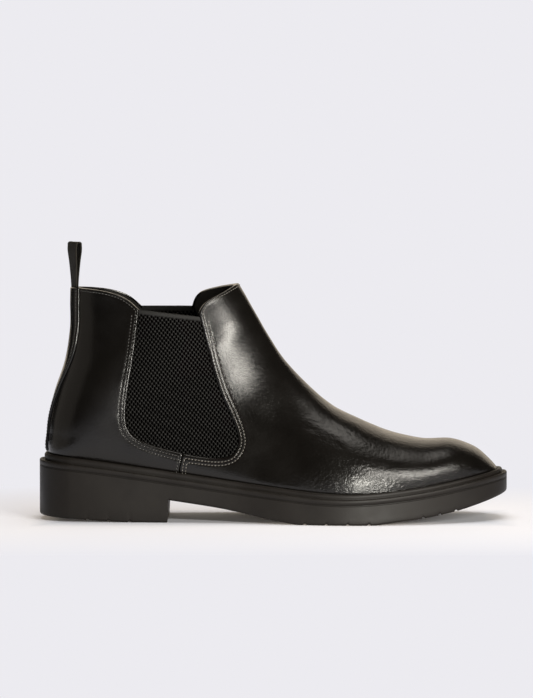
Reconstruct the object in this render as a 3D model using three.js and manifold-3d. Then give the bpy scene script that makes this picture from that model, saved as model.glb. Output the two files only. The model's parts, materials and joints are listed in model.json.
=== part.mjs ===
// A man's Chelsea boot for the right foot, about EU 42, in the pieces it is sewn and glued from.
// Millimetres. +X points to the toe, +Y to the inner side of the foot, +Z up. The boot stands on z = 0,
// and the origin is on the floor under the middle of the outsole.
//
// The upper is built on a last: a smooth closed form given by a few flat stations that fan from the toe,
// over the instep, to the collar. Each layer of the upper is the last's surface at its own depth, cut to
// its pattern.
import * as THREE from "three";
import { mergeVertices } from "three/addons/utils/BufferGeometryUtils.js";
import Module from "manifold-3d";

const wasm = await Module();
wasm.setup();

// ---------------------------------------------------------------- driving sizes

const lastLength = 290; // upper, from the back of the heel to the toe
const ballWidth = 90; // upper, across the joint of the foot
const collarHeight = 112; // back of the collar above the heel seat
const heelSeat = 38.8; // rim of the sole above the floor, at the back
const ballSeat = 16.2; // rim of the sole above the floor, under the ball
const toeSeat = 30.2; // rim of the sole above the floor, at the toe
const gap = 0.3; // left between neighbouring pieces

const weltReach = 6.3; // sole edge out from the upper
const weltThickness = 3.4;
const beadReach = 3.2; // outside of the raised bead, out from the upper
const beadAtHeel = 4.4; // bead above the rim
const beadAtToe = 2.8;

const heelBreast = -66; // front face of the heel
const heelWall = 8; // rubber round the hollow of the heel
const heelFloor = 8; // rubber under the hollow of the heel
const heelBevel = 3.3; // rise of the tread at the very back
const waistClearance = 14.4; // floor to the waist, just ahead of the heel
const toeSpring = 18; // floor to the tread at the toe
const grooveWidth = 2.2;
const grooveDepth = 1.5;
const grooveStep = 13.5;

const leather = 1.4;
const midLayer = 1.5; // stiffeners, foam and elastic
const lining = 1.2;
const backstayThickness = 1;
const backstayTop = 14; // half width under the collar
const backstayFoot = 5; // half width above the sole
const lastingMargin = 14; // of the upper, turned in under the insole
const goreMargin = 7; // of the elastic, sewn in behind the leather

const boardThickness = 2;
const footbedThickness = 3.2;
const sockThickness = 0.8;
const heelPadThickness = 1.6;
const heelPadRadius = 20;
const shankThickness = 1.5;
const shankWidth = 12;
const shankFrom = -104;
const shankTo = -2;
const tuckThickness = 2.2;
const fillerUnderTuck = 1.6;
const rivetRadius = 1.8;
const rivetHeadRadius = 3.6;
const rivetHeadThickness = 0.8;
const rivetInset = 14; // from each end of the shank

const tabHeight = 28.6; // of the loop above the collar
const tabWidth = 12; // of the webbing
const webbing = 0.9;
const tabRootDepth = 14; // of its ends, below the collar
const tabSpread = 4.4; // of the loop, front to back, near its top
const tabTwistFoot = THREE.MathUtils.degToRad(18);
const tabTwistTop = THREE.MathUtils.degToRad(33);

// ---------------------------------------------------------------- the last

// The tables below were drawn for these sizes, and are stretched to the driving ones.
const drawn = { length: 290, width: 90, height: 112 };
const along = lastLength / drawn.length;
const across = ballWidth / drawn.width;
const upward = collarHeight / drawn.height;

// Stations: ridge x and height, underside x and height, outer and inner half widths, where the section is
// widest from ridge (0) to underside (1), how square it is above and below that, and its shift to the inner
// side. Heights are above the rim of the sole. "base" is the flat underside.
const base = -weltThickness / upward;
const stations = [
  [145.3, 2.3, 145.3, 2.3, 0, 0, 0.5, 2, 2, 4],
  [143.3, 5.9, 144, -0.6, 10, 10, 0.5, 2, 2.2, 4],
  [137.3, 12.1, 138.4, -2.8, 19, 19, 0.58, 2.1, 2.6, 4],
  [127.3, 20.7, 128, base, 27.5, 27, 0.66, 2.2, 3.2, 3.6],
  [113.3, 27.8, 113, base, 35.5, 33.5, 0.72, 2.3, 3.8, 3],
  [95, 30.8, 94, base, 43, 38.5, 0.76, 2.3, 4.2, 2.4],
  [74, 38.2, 71, base, 47.5, 40.5, 0.78, 2.2, 4.5, 1.6],
  [54, 47.9, 45, base, 49, 40, 0.78, 2.15, 4.5, 1],
  [36, 56.8, 14, base, 44, 35, 0.78, 2.1, 4.5, 0.5],
  [20, 69.4, -24, base, 35, 30, 0.76, 2.05, 4.2, 0],
  [6, 83.2, -68, base, 31, 29, 0.74, 2, 4, 0],
  [-5, 98.9, -110, base, 30.5, 30, 0.72, 2, 3.4, 0],
  [-10.5, 107.8, -137, -2.8, 30.5, 30.3, 0.7, 2, 2.7, 0],
  [-13.5, 112.7, -144.2, 7.8, 30.8, 30.6, 0.68, 2, 2.3, 0],
  [-16, 116.9, -144.5, 23.8, 30.8, 30.6, 0.64, 2, 2.15, 0],
  [-18.5, 121.1, -139.8, 44.1, 30.4, 30.4, 0.6, 2, 2.1, 0],
  [-21, 125, -133.2, 64.7, 30, 30, 0.56, 2, 2.1, 0],
  [-23.7, 129.3, -130, 85.2, 29.7, 29.7, 0.53, 2, 2.1, 0],
  [-26.5, 133.8, -129, 105.3, 29.5, 29.5, 0.51, 2.05, 2.1, 0],
  [-29.5, 138.4, -128.8, 125.3, 29.5, 29.5, 0.5, 2.05, 2.1, 0],
];
const lastStation = stations.length - 1;
const poleHeight = stations[0][1] * upward;
const noseEdge = 4; // least thickness of the nose, for a layer on the last
const noseEnd = 2; // the station behind the nose

// Catmull-Rom through four neighbours, t from the second to the third.
function between(a, b, c, d, t) {
  const straight = (c - a) * t;
  const bend = (2 * a - 5 * b + 4 * c - d) * t * t;
  return b + (straight + bend + (3 * b - a - 3 * c + d) * t * t * t) / 2;
}

// A smooth curve through points, each an array; t counts points. Ends run straight on.
function curve(points, t) {
  const n = points.length - 1;
  const i = Math.min(Math.max(Math.floor(t), 0), n - 1);
  const pick = (k) => points[Math.min(Math.max(k, 0), n)];
  const past = (k, end, next) => (k < 0 || k > n ? end.map((v, j) => 2 * v - next[j]) : pick(k));
  const before = past(i - 1, points[0], points[1]);
  const after = past(i + 2, points[n], points[n - 1]);
  return points[i].map((v, j) => between(before[j], v, points[i + 1][j], after[j], t - i));
}

// A smooth y for any x, through points whose x rises evenly enough.
function heightOn(points, x) {
  const n = points.length - 1;
  let low = 0;
  let high = n;
  for (let k = 0; k < 40; k += 1) {
    const middle = (low + high) / 2;
    if (curve(points, middle)[0] < x) low = middle;
    else high = middle;
  }
  return curve(points, (low + high) / 2)[1];
}

// The rim of the sole above the floor, at x.
const drop = heelSeat - ballSeat;
const seatPoints = [
  [-151, heelSeat],
  [-110, ballSeat + 0.81 * drop],
  [-60, ballSeat + 0.51 * drop],
  [-10, ballSeat + 0.215 * drop],
  [45, ballSeat],
  [95, ballSeat + 0.285 * (toeSeat - ballSeat)],
  [151, toeSeat],
].map(([x, z]) => [x * along, z]);
const seat = (x) => heightOn(seatPoints, x);

// A drawn point [x, height above the rim] in the boot's own size.
const spot = ([x, h]) => [x * along, seat(x * along) + h * upward];

// Past the toe the ridge goes on as the underside, so that the nose is round.
const nose = [2, 3, 0, 1].map((k) => stations[1][k]);
const pastNose = [...nose, ...stations[1].slice(4, 6).map((w) => -w), ...stations[1].slice(6)];

function station(u) {
  const i = Math.min(Math.floor(u), lastStation - 1);
  const at = (k) => (k < 0 ? pastNose : stations[Math.min(k, lastStation)]);
  const after = i + 2 > lastStation ? stations[lastStation].map((v, j) => 2 * v - at(i)[j]) : at(i + 2);
  const v = at(i).map((b, j) => between(at(i - 1)[j], b, at(i + 1)[j], after[j], u - i));
  return {
    ridge: spot([v[0], v[1]]),
    under: spot([v[2], Math.max(v[3], base)]),
    outer: v[4] * across,
    inner: v[5] * across,
    widest: v[6],
    crown: v[7],
    foot: v[8],
    shift: v[9] * across,
  };
}

// The unit vector to the inside of the last, square to the path of `key` (+1 for the ridge, -1 underneath).
function inward(u, key, turn) {
  const step = 0.02;
  const a = station(Math.max(u - step, 0))[key];
  const b = station(Math.min(u + step, lastStation))[key];
  const length = Math.hypot(b[0] - a[0], b[1] - a[1]);
  if (u < step) return [-1, 0];
  return [(-turn * (b[1] - a[1])) / length, (turn * (b[0] - a[0])) / length];
}

// How much of a depth the half width gives up: none at the nose, where the outline runs crosswise.
function sideways(u) {
  const step = 0.02;
  const a = station(Math.max(u - step, 0));
  const b = station(Math.min(u + step, lastStation));
  const mean = (k) => (b.ridge[k] + b.under[k] - a.ridge[k] - a.under[k]) / 2;
  const run = Math.hypot(mean(0), mean(1));
  return run / Math.hypot(run, (b.outer + b.inner - a.outer - a.inner) / 2);
}

// A section of the last, `depth` under its surface. A nose too thin for that depth keeps a thin edge.
function section(u, depth) {
  const s = station(u);
  const top = inward(u, "ridge", 1);
  const low = inward(u, "under", -1);
  let ridge = s.ridge.map((v, k) => v + depth * top[k]);
  let under = s.under.map((v, k) => v + depth * low[k]);
  const edge = noseEdge / (1 + Math.abs(depth));
  if (u > 0 && u < noseEnd && ridge[1] - under[1] < edge) {
    const middle = ridge.map((v, k) => (v + under[k]) / 2);
    ridge = [middle[0], middle[1] + edge / 2];
    under = [middle[0], middle[1] - edge / 2];
  }
  const thinner = depth * sideways(u);
  return { ...s, ridge, under, outer: s.outer - thinner, inner: s.inner - thinner };
}

// The point of a section at a, from 0 on the ridge, over 1 at the widest place, to 2 underneath.
function around(s, a, side) {
  const half = side < 0 ? s.outer : s.inner;
  const upper = a <= 1;
  const angle = ((upper ? a : 2 - a) * Math.PI) / 2;
  const power = 2 / (upper ? s.crown : s.foot);
  const reach = Math.max(Math.cos(angle), 0) ** power;
  const p = upper ? s.widest * (1 - reach) : s.widest + (1 - s.widest) * reach;
  const x = s.ridge[0] + p * (s.under[0] - s.ridge[0]);
  const z = s.ridge[1] + p * (s.under[1] - s.ridge[1]);
  return [x, s.shift + side * half * Math.sin(angle) ** power, z];
}

// ---------------------------------------------------------------- solids

// A closed geometry as a manifold solid.
function solid(geometry) {
  const bare = new THREE.BufferGeometry();
  bare.setAttribute("position", geometry.getAttribute("position").clone());
  bare.setIndex(geometry.index);
  const merged = mergeVertices(bare, 1e-4);
  const vertProperties = new Float32Array(merged.getAttribute("position").array);
  const triVerts = new Uint32Array(merged.index.array);
  return new wasm.Manifold(new wasm.Mesh({ numProp: 3, vertProperties, triVerts }));
}

// The whole last at a depth, closed over its top. Every layer has the same facets, so that layers nest.
const rows = 23;
const turns = 5; // facets from the ridge to the widest place, and from there to the underside
const lasts = new Map();
function last(depth) {
  if (lasts.has(depth)) return lasts.get(depth);
  const ring = 4 * turns;
  const points = [];
  const faces = [];
  const first = section(0, depth);
  points.push(first.ridge[0], first.shift, (first.ridge[1] + first.under[1]) / 2);
  for (let i = 1; i <= rows; i += 1) {
    const s = section((i / rows) * lastStation, depth);
    for (let k = 0; k < ring; k += 1) {
      const outward = k <= 2 * turns;
      points.push(...around(s, (outward ? k : ring - k) / turns, outward ? -1 : 1));
    }
  }
  const index = (i, k) => 1 + (i - 1) * ring + (k % ring);
  const lid = points.length / 3;
  const top = section(lastStation, depth);
  points.push((top.ridge[0] + top.under[0]) / 2, 0, (top.ridge[1] + top.under[1]) / 2);
  for (let k = 0; k < ring; k += 1) {
    faces.push(0, index(1, k), index(1, k + 1), lid, index(rows, k + 1), index(rows, k));
    for (let i = 1; i < rows; i += 1) {
      faces.push(index(i, k), index(i + 1, k + 1), index(i, k + 1));
      faces.push(index(i, k), index(i + 1, k), index(i + 1, k + 1));
    }
  }
  const geometry = new THREE.BufferGeometry();
  geometry.setAttribute("position", new THREE.Float32BufferAttribute(points, 3));
  geometry.setIndex(faces);
  lasts.set(depth, solid(geometry));
  return lasts.get(depth);
}

// One layer of the upper, from an outer to an inner depth, all round the last.
const layer = (outside, inside) => last(outside).subtract(last(inside));

const shapeOf = (points) => new THREE.Shape(points.map(([x, y]) => new THREE.Vector2(x, y)));

function extruded(points, depth) {
  return new THREE.ExtrudeGeometry(shapeOf(points), { depth, bevelEnabled: false });
}

// A prism whose outline is seen from the side, [x, z], between two y.
function sidePrism(points, from, to) {
  return solid(extruded(points, to - from).rotateX(Math.PI / 2).translate(0, to, 0));
}

// A prism whose outline is seen from above, [x, y], between two z.
function planPrism(points, from, to) {
  return solid(extruded(points, to - from).translate(0, 0, from));
}

// A prism whose outline is seen from behind, [y, z], between two x.
function backPrism(points, from, to) {
  const turned = extruded(points, to - from).rotateX(Math.PI / 2).rotateZ(Math.PI / 2);
  return solid(turned.translate(from, 0, 0));
}

const far = 400; // beyond every piece
const levels = 18;
const seatLine = (rise) =>
  Array.from({ length: levels + 1 }, (_, i) => {
    const x = (-160 + (320 * i) / levels) * along;
    return [x, seat(x) + (typeof rise === "function" ? rise(x) : rise)];
  });

// What lies between two heights above the rim, right across the boot.
function band(low, high) {
  return sidePrism([...seatLine(low), ...seatLine(high).reverse()], -far, far);
}

// ---------------------------------------------------------------- outlines seen from above

// Where the upper meets the sole: the line on the last that is level with its nose.
function featherPoint(u, side) {
  let low = 0;
  let high = 2;
  const s = station(u);
  for (let k = 0; k < 30; k += 1) {
    const middle = (low + high) / 2;
    const [x, , z] = around(s, middle, side);
    if (z - seat(x) > poleHeight) low = middle;
    else high = middle;
  }
  return around(s, low, side).slice(0, 2);
}

function backOfFeather() {
  let low = 11;
  let high = 15;
  for (let k = 0; k < 30; k += 1) {
    const middle = (low + high) / 2;
    const [x, z] = station(middle).under;
    if (z - seat(x) < poleHeight) low = middle;
    else high = middle;
  }
  return low;
}

const traced = 160;
const outlineSteps = 28; // on each side
const backStation = backOfFeather();
const featherLine = [-1, 1].map((side) =>
  Array.from({ length: traced + 1 }, (_, i) => {
    const u = (backStation * (1 - Math.cos((Math.PI * i) / traced))) / 2;
    if (i === 0) return [station(0).ridge[0], station(0).shift];
    return featherPoint(u, side);
  }),
);

// The feather line in even steps from the toe to the heel, with its outward normal at each.
function halfPath(side) {
  const line = featherLine[side < 0 ? 0 : 1];
  const lengths = [0];
  line.slice(1).forEach(([x, y], i) => {
    lengths.push(lengths[i] + Math.hypot(x - line[i][0], y - line[i][1]));
  });
  const normal = (i) => {
    if (i === 0) return [1, 0];
    if (i === traced) return [-1, 0];
    const run = line[i + 1].map((v, k) => (side * (v - line[i - 1][k])) / (lengths[i + 1] - lengths[i - 1]));
    return [run[1], -run[0]];
  };
  return Array.from({ length: outlineSteps + 1 }, (_, i) => {
    const want = Math.min((lengths[traced] * i) / outlineSteps, lengths[traced]);
    const k = Math.max(lengths.findIndex((v) => v >= want), 1);
    const t = (want - lengths[k - 1]) / (lengths[k] - lengths[k - 1]);
    const mix = (a, b) => a.map((v, j) => v + t * (b[j] - v));
    return { point: mix(line[k - 1], line[k]), normal: mix(normal(k - 1), normal(k)) };
  });
}

const halfPaths = [-1, 1].map(halfPath);

// The closed outline at a distance out from the upper; a negative reach is inside it. All outlines nest.
function outline(reach) {
  const moved = ({ point, normal }) => point.map((v, k) => v + reach * normal[k]);
  const [outer, inner] = halfPaths.map((path) => path.map(moved));
  return [...inner, ...outer.slice(1, -1).reverse()];
}

const edge = outline(weltReach);
const middleOf = (k) => (Math.min(...edge.map((p) => p[k])) + Math.max(...edge.map((p) => p[k]))) / 2;
const centre = [middleOf(0), middleOf(1)];

// ---------------------------------------------------------------- pattern lines seen from the side

// A smooth line through drawn points, in a few steps from each to the next.
function line(points, each = 2) {
  const n = (points.length - 1) * each;
  return Array.from({ length: n + 1 }, (_, i) => spot(curve(points, i / each)));
}

// The gore's window, from its front top corner down, round the bottom and up to its back top corner.
const windowLow = [
  [-33.3, 57.3],
  [-27, 44],
  [-23.2, 33.7],
  [-22.9, 26.5],
  [-27, 19.3],
  [-35, 15.8],
  [-50.4, 15],
  [-61, 15.8],
  [-77.5, 17.9],
  [-88.5, 21.6],
  [-93.8, 28],
  [-94.8, 38],
  [-93, 54],
  [-89.8, 73.7],
  [-87.4, 93.5],
  [-86.3, 104],
];
const windowFront = {
  outer: [
    [-46.8, 104.5],
    [-43.5, 91.7],
    [-38.7, 73],
  ],
  inner: [
    [-52.6, 108.8],
    [-47.2, 93.5],
    [-39.6, 73.4],
  ],
};
const collarFront = {
  outer: [
    [-46.8, 104.5],
    [-47, 108.6],
    [-43.3, 114.6],
    [-37.4, 118.9],
    [-30.5, 123.4],
    [-22.8, 128.8],
  ],
  inner: [
    [-52.6, 108.8],
    [-50, 115.8],
    [-45.9, 120],
    [-36, 124.3],
    [-22.8, 128.8],
  ],
};
const collarBack = [
  [-86.3, 104],
  [-92.2, 108.2],
  [-98.5, 110.9],
  [-108, 112.3],
  [-118, 112.4],
  [-130, 111.9],
];
const seamX = -58.5; // side seam under the window
const seamHalf = gap / 2;
const sides = ["outer", "inner"];
const windowPoints = (side) => [...windowFront[side], ...windowLow];

// A line moved to its left by a distance.
function beside(points, distance) {
  const end = points.length - 1;
  return points.map(([x, z], i) => {
    const a = points[Math.max(i - 1, 0)];
    const b = points[Math.min(i + 1, end)];
    const length = Math.hypot(b[0] - a[0], b[1] - a[1]);
    return [x - ((b[1] - a[1]) * distance) / length, z + ((b[0] - a[0]) * distance) / length];
  });
}

const farFront = 180 * along;
const farBack = -170 * along;
const farUp = 260 * upward;
const under = -60;

// The window's line cut at the side seam into its front and its back part.
function windowParts(side) {
  const whole = line(windowPoints(side));
  const cut = whole.findIndex(([x, z]) => x < seamX * along && z < spot([seamX, 40])[1]);
  return { front: whole.slice(0, cut), back: whole.slice(cut) };
}

// Everything ahead of the side seam and the window.
function vampRegion(side) {
  const x = seamX * along + seamHalf;
  const { front } = windowParts(side);
  const collar = line(collarFront[side]).reverse();
  const last = collar[0];
  return [
    [x, under],
    [farFront, under],
    [farFront, farUp],
    [last[0] + 6, last[1] + 6],
    ...collar.slice(0, -1),
    ...front,
    [x, front.at(-1)[1]],
  ];
}

// Everything behind them.
function quarterRegion(side) {
  const x = seamX * along - seamHalf;
  const { back } = windowParts(side);
  const collar = line(collarBack);
  const corner = [farBack, collar.at(-1)[1]];
  return [[x, under], [x, back[0][1]], ...back, ...collar.slice(1), corner, [farBack, under]];
}

// A region of both sides at once; the two halves share a sliver at the middle.
function bothSides(regionOf) {
  const sliver = 0.01;
  return sidePrism(regionOf("outer"), -far, sliver).add(sidePrism(regionOf("inner"), -sliver, far));
}

const halfOf = { outer: [-far, -gap / 2], inner: [gap / 2, far] };

// The elastic's own outline: the window grown by its margin, and straight along the top.
function goreRegion(side, margin) {
  return beside(line(windowPoints(side)), margin);
}

// ---------------------------------------------------------------- layers

const midOutside = leather + gap;
const midInside = midOutside + midLayer;
const liningOutside = midInside + gap;
const liningInside = liningOutside + lining;
const inside = liningInside + gap;

const leatherLayer = layer(0, leather);
const midShell = layer(midOutside, midInside);
const liningLayer = layer(liningOutside, liningInside);

// The opening in the sole of the upper, inside the turned-in margin.
const soleOpening = planPrism(outline(-lastingMargin), -far, far).intersect(band(-far, liningInside));
const lasted = (piece) => piece.subtract(soleOpening);

// ---------------------------------------------------------------- the sole

// The tread, from the back of the heel to the toe, with the arch of the waist.
function treadLine() {
  const waist = [
    [heelBreast, waistClearance],
    [heelBreast + 32, waistClearance * 0.67],
    [heelBreast + 53, waistClearance * 0.38],
    [heelBreast + 67, waistClearance * 0.17],
    [heelBreast + 82, 0],
  ];
  const toe = [
    [66, 0],
    [80, toeSpring * 0.1],
    [97, toeSpring * 0.22],
    [118, toeSpring * 0.43],
    [136, toeSpring * 0.7],
    [153, toeSpring],
  ];
  const toFoot = ([x, z]) => [x * along, z];
  const heel = [
    [-153, heelBevel],
    [-143, heelBevel * 0.82],
    [-94, 0],
    [heelBreast, 0],
  ];
  return [...heel, ...waist, ...toe].map(toFoot);
}

// Grooves across the tread, at x, as deep as given from the tread line up.
function groove(x, low) {
  const half = grooveWidth / 2;
  const wall = [
    [x - half, -far],
    [x + half, -far],
    [x + half, low + grooveDepth],
    [x - half, low + grooveDepth],
  ];
  return sidePrism(wall, -far, far);
}

const outsoleTop = -weltThickness - gap;
const tread = treadLine();
const treadAt = (x) => {
  const k = Math.max(tread.findIndex((p) => p[0] > x), 1);
  const [a, b] = [tread[k - 1], tread[k]];
  return a[1] + ((b[1] - a[1]) * (x - a[0])) / (b[0] - a[0]);
};

function grooves() {
  const heel = [-117, -103.5, -90];
  const forefoot = [21, 21 + grooveStep, 21 + 2 * grooveStep, 21 + 3 * grooveStep];
  const toe = [96, 106.5, 117];
  const all = [...heel, ...forefoot, ...toe].map((x) => x * along);
  return all.map((x) => groove(x, treadAt(x))).reduce((a, b) => a.add(b));
}

// The hollow of the heel, which the filler fills.
function heelHollow(clearance) {
  const front = heelBreast * along - heelWall - clearance;
  const plan = planPrism(outline(weltReach - heelWall - clearance), heelFloor + clearance, far);
  const cut = sidePrism(
    [
      [farBack, 0],
      [front, 0],
      [front, far],
      [farBack, far],
    ],
    -far,
    far,
  );
  return plan.intersect(cut);
}

function outsole() {
  const profile = sidePrism([...tread, ...seatLine(outsoleTop).reverse()], -far, far);
  return planPrism(edge, -10, far).intersect(profile).subtract(heelHollow(0)).subtract(grooves());
}

function heelFiller() {
  return heelHollow(gap).intersect(band(-far, outsoleTop));
}

const beadHeight = (x) => beadAtHeel + ((beadAtToe - beadAtHeel) * (x / along + 145)) / 290;

function welt() {
  const rim = planPrism(edge, -10, far).intersect(band(-weltThickness, 0));
  const bead = planPrism(outline(beadReach), -10, far).intersect(band(-weltThickness, beadHeight));
  const inner = planPrism(outline(-lastingMargin / 2), -10, far);
  return rim.add(bead).subtract(last(-gap)).subtract(inner);
}

// ---------------------------------------------------------------- the bottom of the upper, from below up

const bedside = inside + gap; // depth of the edges of all that lies in the boot
const boardLow = base * upward + inside + gap / 2;
const shankHigh = boardLow - gap;
const shankLow = shankHigh - shankThickness;
const ballLine = 8 * along; // where the waist pieces meet the forefoot filler
const bottomPlan = outline(-lastingMargin - 2 * gap);

// A box seen from above, for cutting plan shapes to length.
const stretch = (from, to) => planPrism(rectangle(from, to, -far, far), -far, far);

function rectangle(x0, x1, y0, y1) {
  return [
    [x0, y0],
    [x1, y0],
    [x1, y1],
    [x0, y1],
  ];
}

// A strip with round ends, seen from above.
function strip(from, to, width) {
  const r = width / 2;
  const arcs = [];
  for (let k = 0; k <= 8; k += 1) {
    const angle = -Math.PI / 2 + (Math.PI * k) / 8;
    arcs.push([to - r + r * Math.cos(angle), r * Math.sin(angle)]);
  }
  return [...arcs, ...arcs.map(([x, y]) => [from + to - x, -y])];
}

const rivetPlaces = [shankFrom + rivetInset, shankTo - rivetInset].map((x) => x * along);

// Stands a geometry at x, square to the rim, with its zero at the shank's underside.
function onShank(geometry, x) {
  const tilt = new THREE.Matrix4().makeRotationY(-Math.atan2(seat(x + 1) - seat(x - 1), 2));
  const place = new THREE.Matrix4().makeTranslation(x, 0, seat(x) + shankLow);
  return solid(geometry.applyMatrix4(place.multiply(tilt)));
}

const round = 18;

// Head down, the foot of its shaft riveted over in the insole board.
function rivet(x) {
  const neck = -gap;
  const top = shankThickness + gap + boardThickness;
  const profile = [
    [0, neck - rivetHeadThickness],
    [rivetHeadRadius, neck - rivetHeadThickness],
    [rivetHeadRadius, neck],
    [rivetRadius, neck],
    [rivetRadius, top],
    [0, top],
  ].map(([r, y]) => new THREE.Vector2(r, y));
  return onShank(new THREE.LatheGeometry(profile, round).rotateX(Math.PI / 2), x);
}

function drill(x, radius, from, to) {
  const geometry = new THREE.CylinderGeometry(radius, radius, to - from, round);
  return onShank(geometry.rotateX(Math.PI / 2).translate(0, 0, (from + to) / 2), x);
}

const drillAll = (...size) => rivetPlaces.map((x) => drill(x, ...size)).reduce((a, b) => a.add(b));
const rivetHoles = drillAll(rivetRadius + gap, -15, 15);
const headHoles = drillAll(rivetHeadRadius + gap, -5, 0.1);

function shank() {
  const plan = strip(shankFrom * along, shankTo * along, shankWidth);
  return planPrism(plan, -far, far).intersect(band(shankLow, shankHigh)).subtract(rivetHoles);
}

function tuckBoard() {
  const slot = strip(shankFrom * along - gap, shankTo * along + gap, shankWidth + 2 * gap);
  const plan = planPrism(bottomPlan, -far, far).intersect(stretch(-far, ballLine - gap));
  return plan
    .intersect(band(shankHigh - tuckThickness, shankHigh))
    .subtract(planPrism(slot, -far, far).intersect(band(shankLow - gap, far)))
    .subtract(headHoles);
}

function bottomFiller() {
  const low = base * upward;
  const plan = planPrism(bottomPlan, -far, far);
  const front = plan.intersect(stretch(ballLine, far)).intersect(band(low, shankHigh));
  const rear = plan.intersect(stretch(-far, ballLine + 1)).intersect(band(low, low + fillerUnderTuck));
  return front.add(rear);
}

function insoleBoard() {
  return last(bedside).intersect(band(boardLow, boardLow + boardThickness)).subtract(rivetHoles);
}

const footbedLow = boardLow + boardThickness + gap;
const heelPadPlan = Array.from({ length: 28 }, (_, k) => {
  const angle = (2 * Math.PI * k) / 28;
  return [-103 * along + heelPadRadius * 1.15 * Math.cos(angle), heelPadRadius * Math.sin(angle) * 0.85];
});

function heelPad() {
  const plan = planPrism(heelPadPlan, -far, far);
  return plan.intersect(band(footbedLow, footbedLow + heelPadThickness)).intersect(last(bedside));
}

function footbed() {
  const wider = heelPadPlan.map(([x, y]) => {
    const length = Math.hypot(x + 103 * along, y);
    return [x + ((x + 103 * along) * gap) / length, y + (y * gap) / length];
  });
  const pocket = planPrism(wider, -far, far).intersect(band(-far, footbedLow + heelPadThickness + gap));
  return last(bedside).intersect(band(footbedLow, footbedLow + footbedThickness)).subtract(pocket);
}

function sockLining() {
  const low = footbedLow + footbedThickness + gap;
  return last(bedside).intersect(band(low, low + sockThickness));
}

// ---------------------------------------------------------------- the upper

function vamp() {
  return lasted(leatherLayer.intersect(bothSides(vampRegion)));
}

function quarter(side) {
  return lasted(leatherLayer.intersect(sidePrism(quarterRegion(side), ...halfOf[side])));
}

function gore(side) {
  const [from, to] = side === "outer" ? [-far, -10] : [10, far];
  return midShell.intersect(sidePrism(goreRegion(side, goreMargin), from, to));
}

// The middle layer is shared out ahead of and behind the gore's margin.
function goreClearance() {
  return bothSides((side) => {
    const grown = goreRegion(side, goreMargin + gap);
    const [front, back] = [grown[0], grown.at(-1)];
    return [[front[0], farUp], ...grown, [back[0], farUp]];
  });
}

const puffBack = [
  [106, -10],
  [98, 8],
  [88, 45],
];

function puffRegion(clearance) {
  const back = line(puffBack).map(([x, z]) => [x - clearance, z]);
  return [...back, [back.at(-1)[0], farUp], [farFront, farUp], [farFront, under], [back[0][0], under]];
}

function toePuff() {
  return lasted(midShell.intersect(sidePrism(puffRegion(0), -far, far)));
}

const counterTop = [
  [-62, -10],
  [-64, 2],
  [-76, 7],
  [-95, 8.5],
  [-104, 18],
  [-107, 40],
  [-113, 52],
  [-124, 57],
  [-170, 58],
];

function counterRegion(clearance) {
  const top = beside(line(counterTop), -clearance);
  return [[top[0][0], under], ...top, [farBack - 10, top.at(-1)[1]], [farBack - 10, under]];
}

function heelCounter() {
  return lasted(midShell.intersect(sidePrism(counterRegion(0), -far, far)));
}

function vampInterlining() {
  const kept = midShell.intersect(bothSides(vampRegion)).subtract(goreClearance());
  return lasted(kept.subtract(sidePrism(puffRegion(gap), -far, far)));
}

function collarPad() {
  const quarters = bothSides((side) => quarterRegion(side));
  const kept = midShell.intersect(quarters).subtract(goreClearance());
  return lasted(kept.subtract(sidePrism(counterRegion(gap), -far, far)).subtract(tabPocket(gap)));
}

const gripEdge = -112 * along; // where the quarter lining gives way to the heel grip

function vampLining() {
  return lasted(liningLayer.intersect(bothSides(vampRegion)));
}

function quarterLining(side) {
  const whole = liningLayer.intersect(sidePrism(quarterRegion(side), ...halfOf[side]));
  return lasted(whole.intersect(stretch(gripEdge + gap, far)));
}

function heelGrip() {
  const whole = liningLayer.intersect(bothSides(quarterRegion));
  return lasted(whole.intersect(stretch(-far, gripEdge)));
}

// The strip over the back seam, from the bead to the collar.
function backstay() {
  const foot = heelSeat + beadAtHeel + gap;
  const top = spot(collarBack.at(-1))[1];
  const rise = (share) => foot + (top - foot) * share;
  const halves = [
    [backstayFoot, 0],
    [backstayFoot, 0.25],
    [backstayFoot + (backstayTop - backstayFoot) * 0.45, 0.38],
    [backstayFoot + (backstayTop - backstayFoot) * 0.9, 0.58],
    [backstayTop, 0.75],
    [backstayTop, 1],
  ];
  const shares = Array.from({ length: 16 }, (_, i) => curve(halves, i / 3));
  const right = shares.map(([y, share]) => [y, rise(share)]);
  const left = right.map(([y, z]) => [-y, z]).reverse();
  const region = backPrism([...right, ...left], -far, -100 * along);
  return layer(-gap - backstayThickness, -gap).intersect(region);
}

// ---------------------------------------------------------------- the pull tab

const tabFoot = { x: -127.3 * along, z: spot(collarBack.at(-1))[1] + gap };
const tabFold = webbing + gap / 2; // half the thickness of the two legs together

// The loop from the side: a fold round the hinge line, two legs that part upwards, and a flat top.
function loopOutline(inset) {
  const corner = 1.6;
  const bend = tabFold - inset;
  const legs = [
    [tabFold, tabFold],
    [tabFold + 0.1, tabHeight * 0.2],
    [tabSpread / 2 - 0.5, tabHeight * 0.58],
    [tabSpread / 2, tabHeight - corner],
  ];
  const right = [];
  for (let k = 0; k <= 3; k += 1) {
    const angle = (Math.PI * (k - 3)) / 6;
    right.push([bend * Math.cos(angle), tabFold + bend * Math.sin(angle)]);
  }
  for (let i = 1; i <= 6; i += 1) {
    const [x, z] = curve(legs, i / 2);
    right.push([x - inset, z]);
  }
  for (let k = 1; k <= 3; k += 1) {
    const angle = (Math.PI * k) / 6;
    const r = corner - inset;
    right.push([tabSpread / 2 - corner + r * Math.cos(angle), tabHeight - corner + r * Math.sin(angle)]);
  }
  const left = right.slice(1).map(([x, z]) => [-x, z]);
  return [...right, ...left.reverse()];
}

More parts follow.
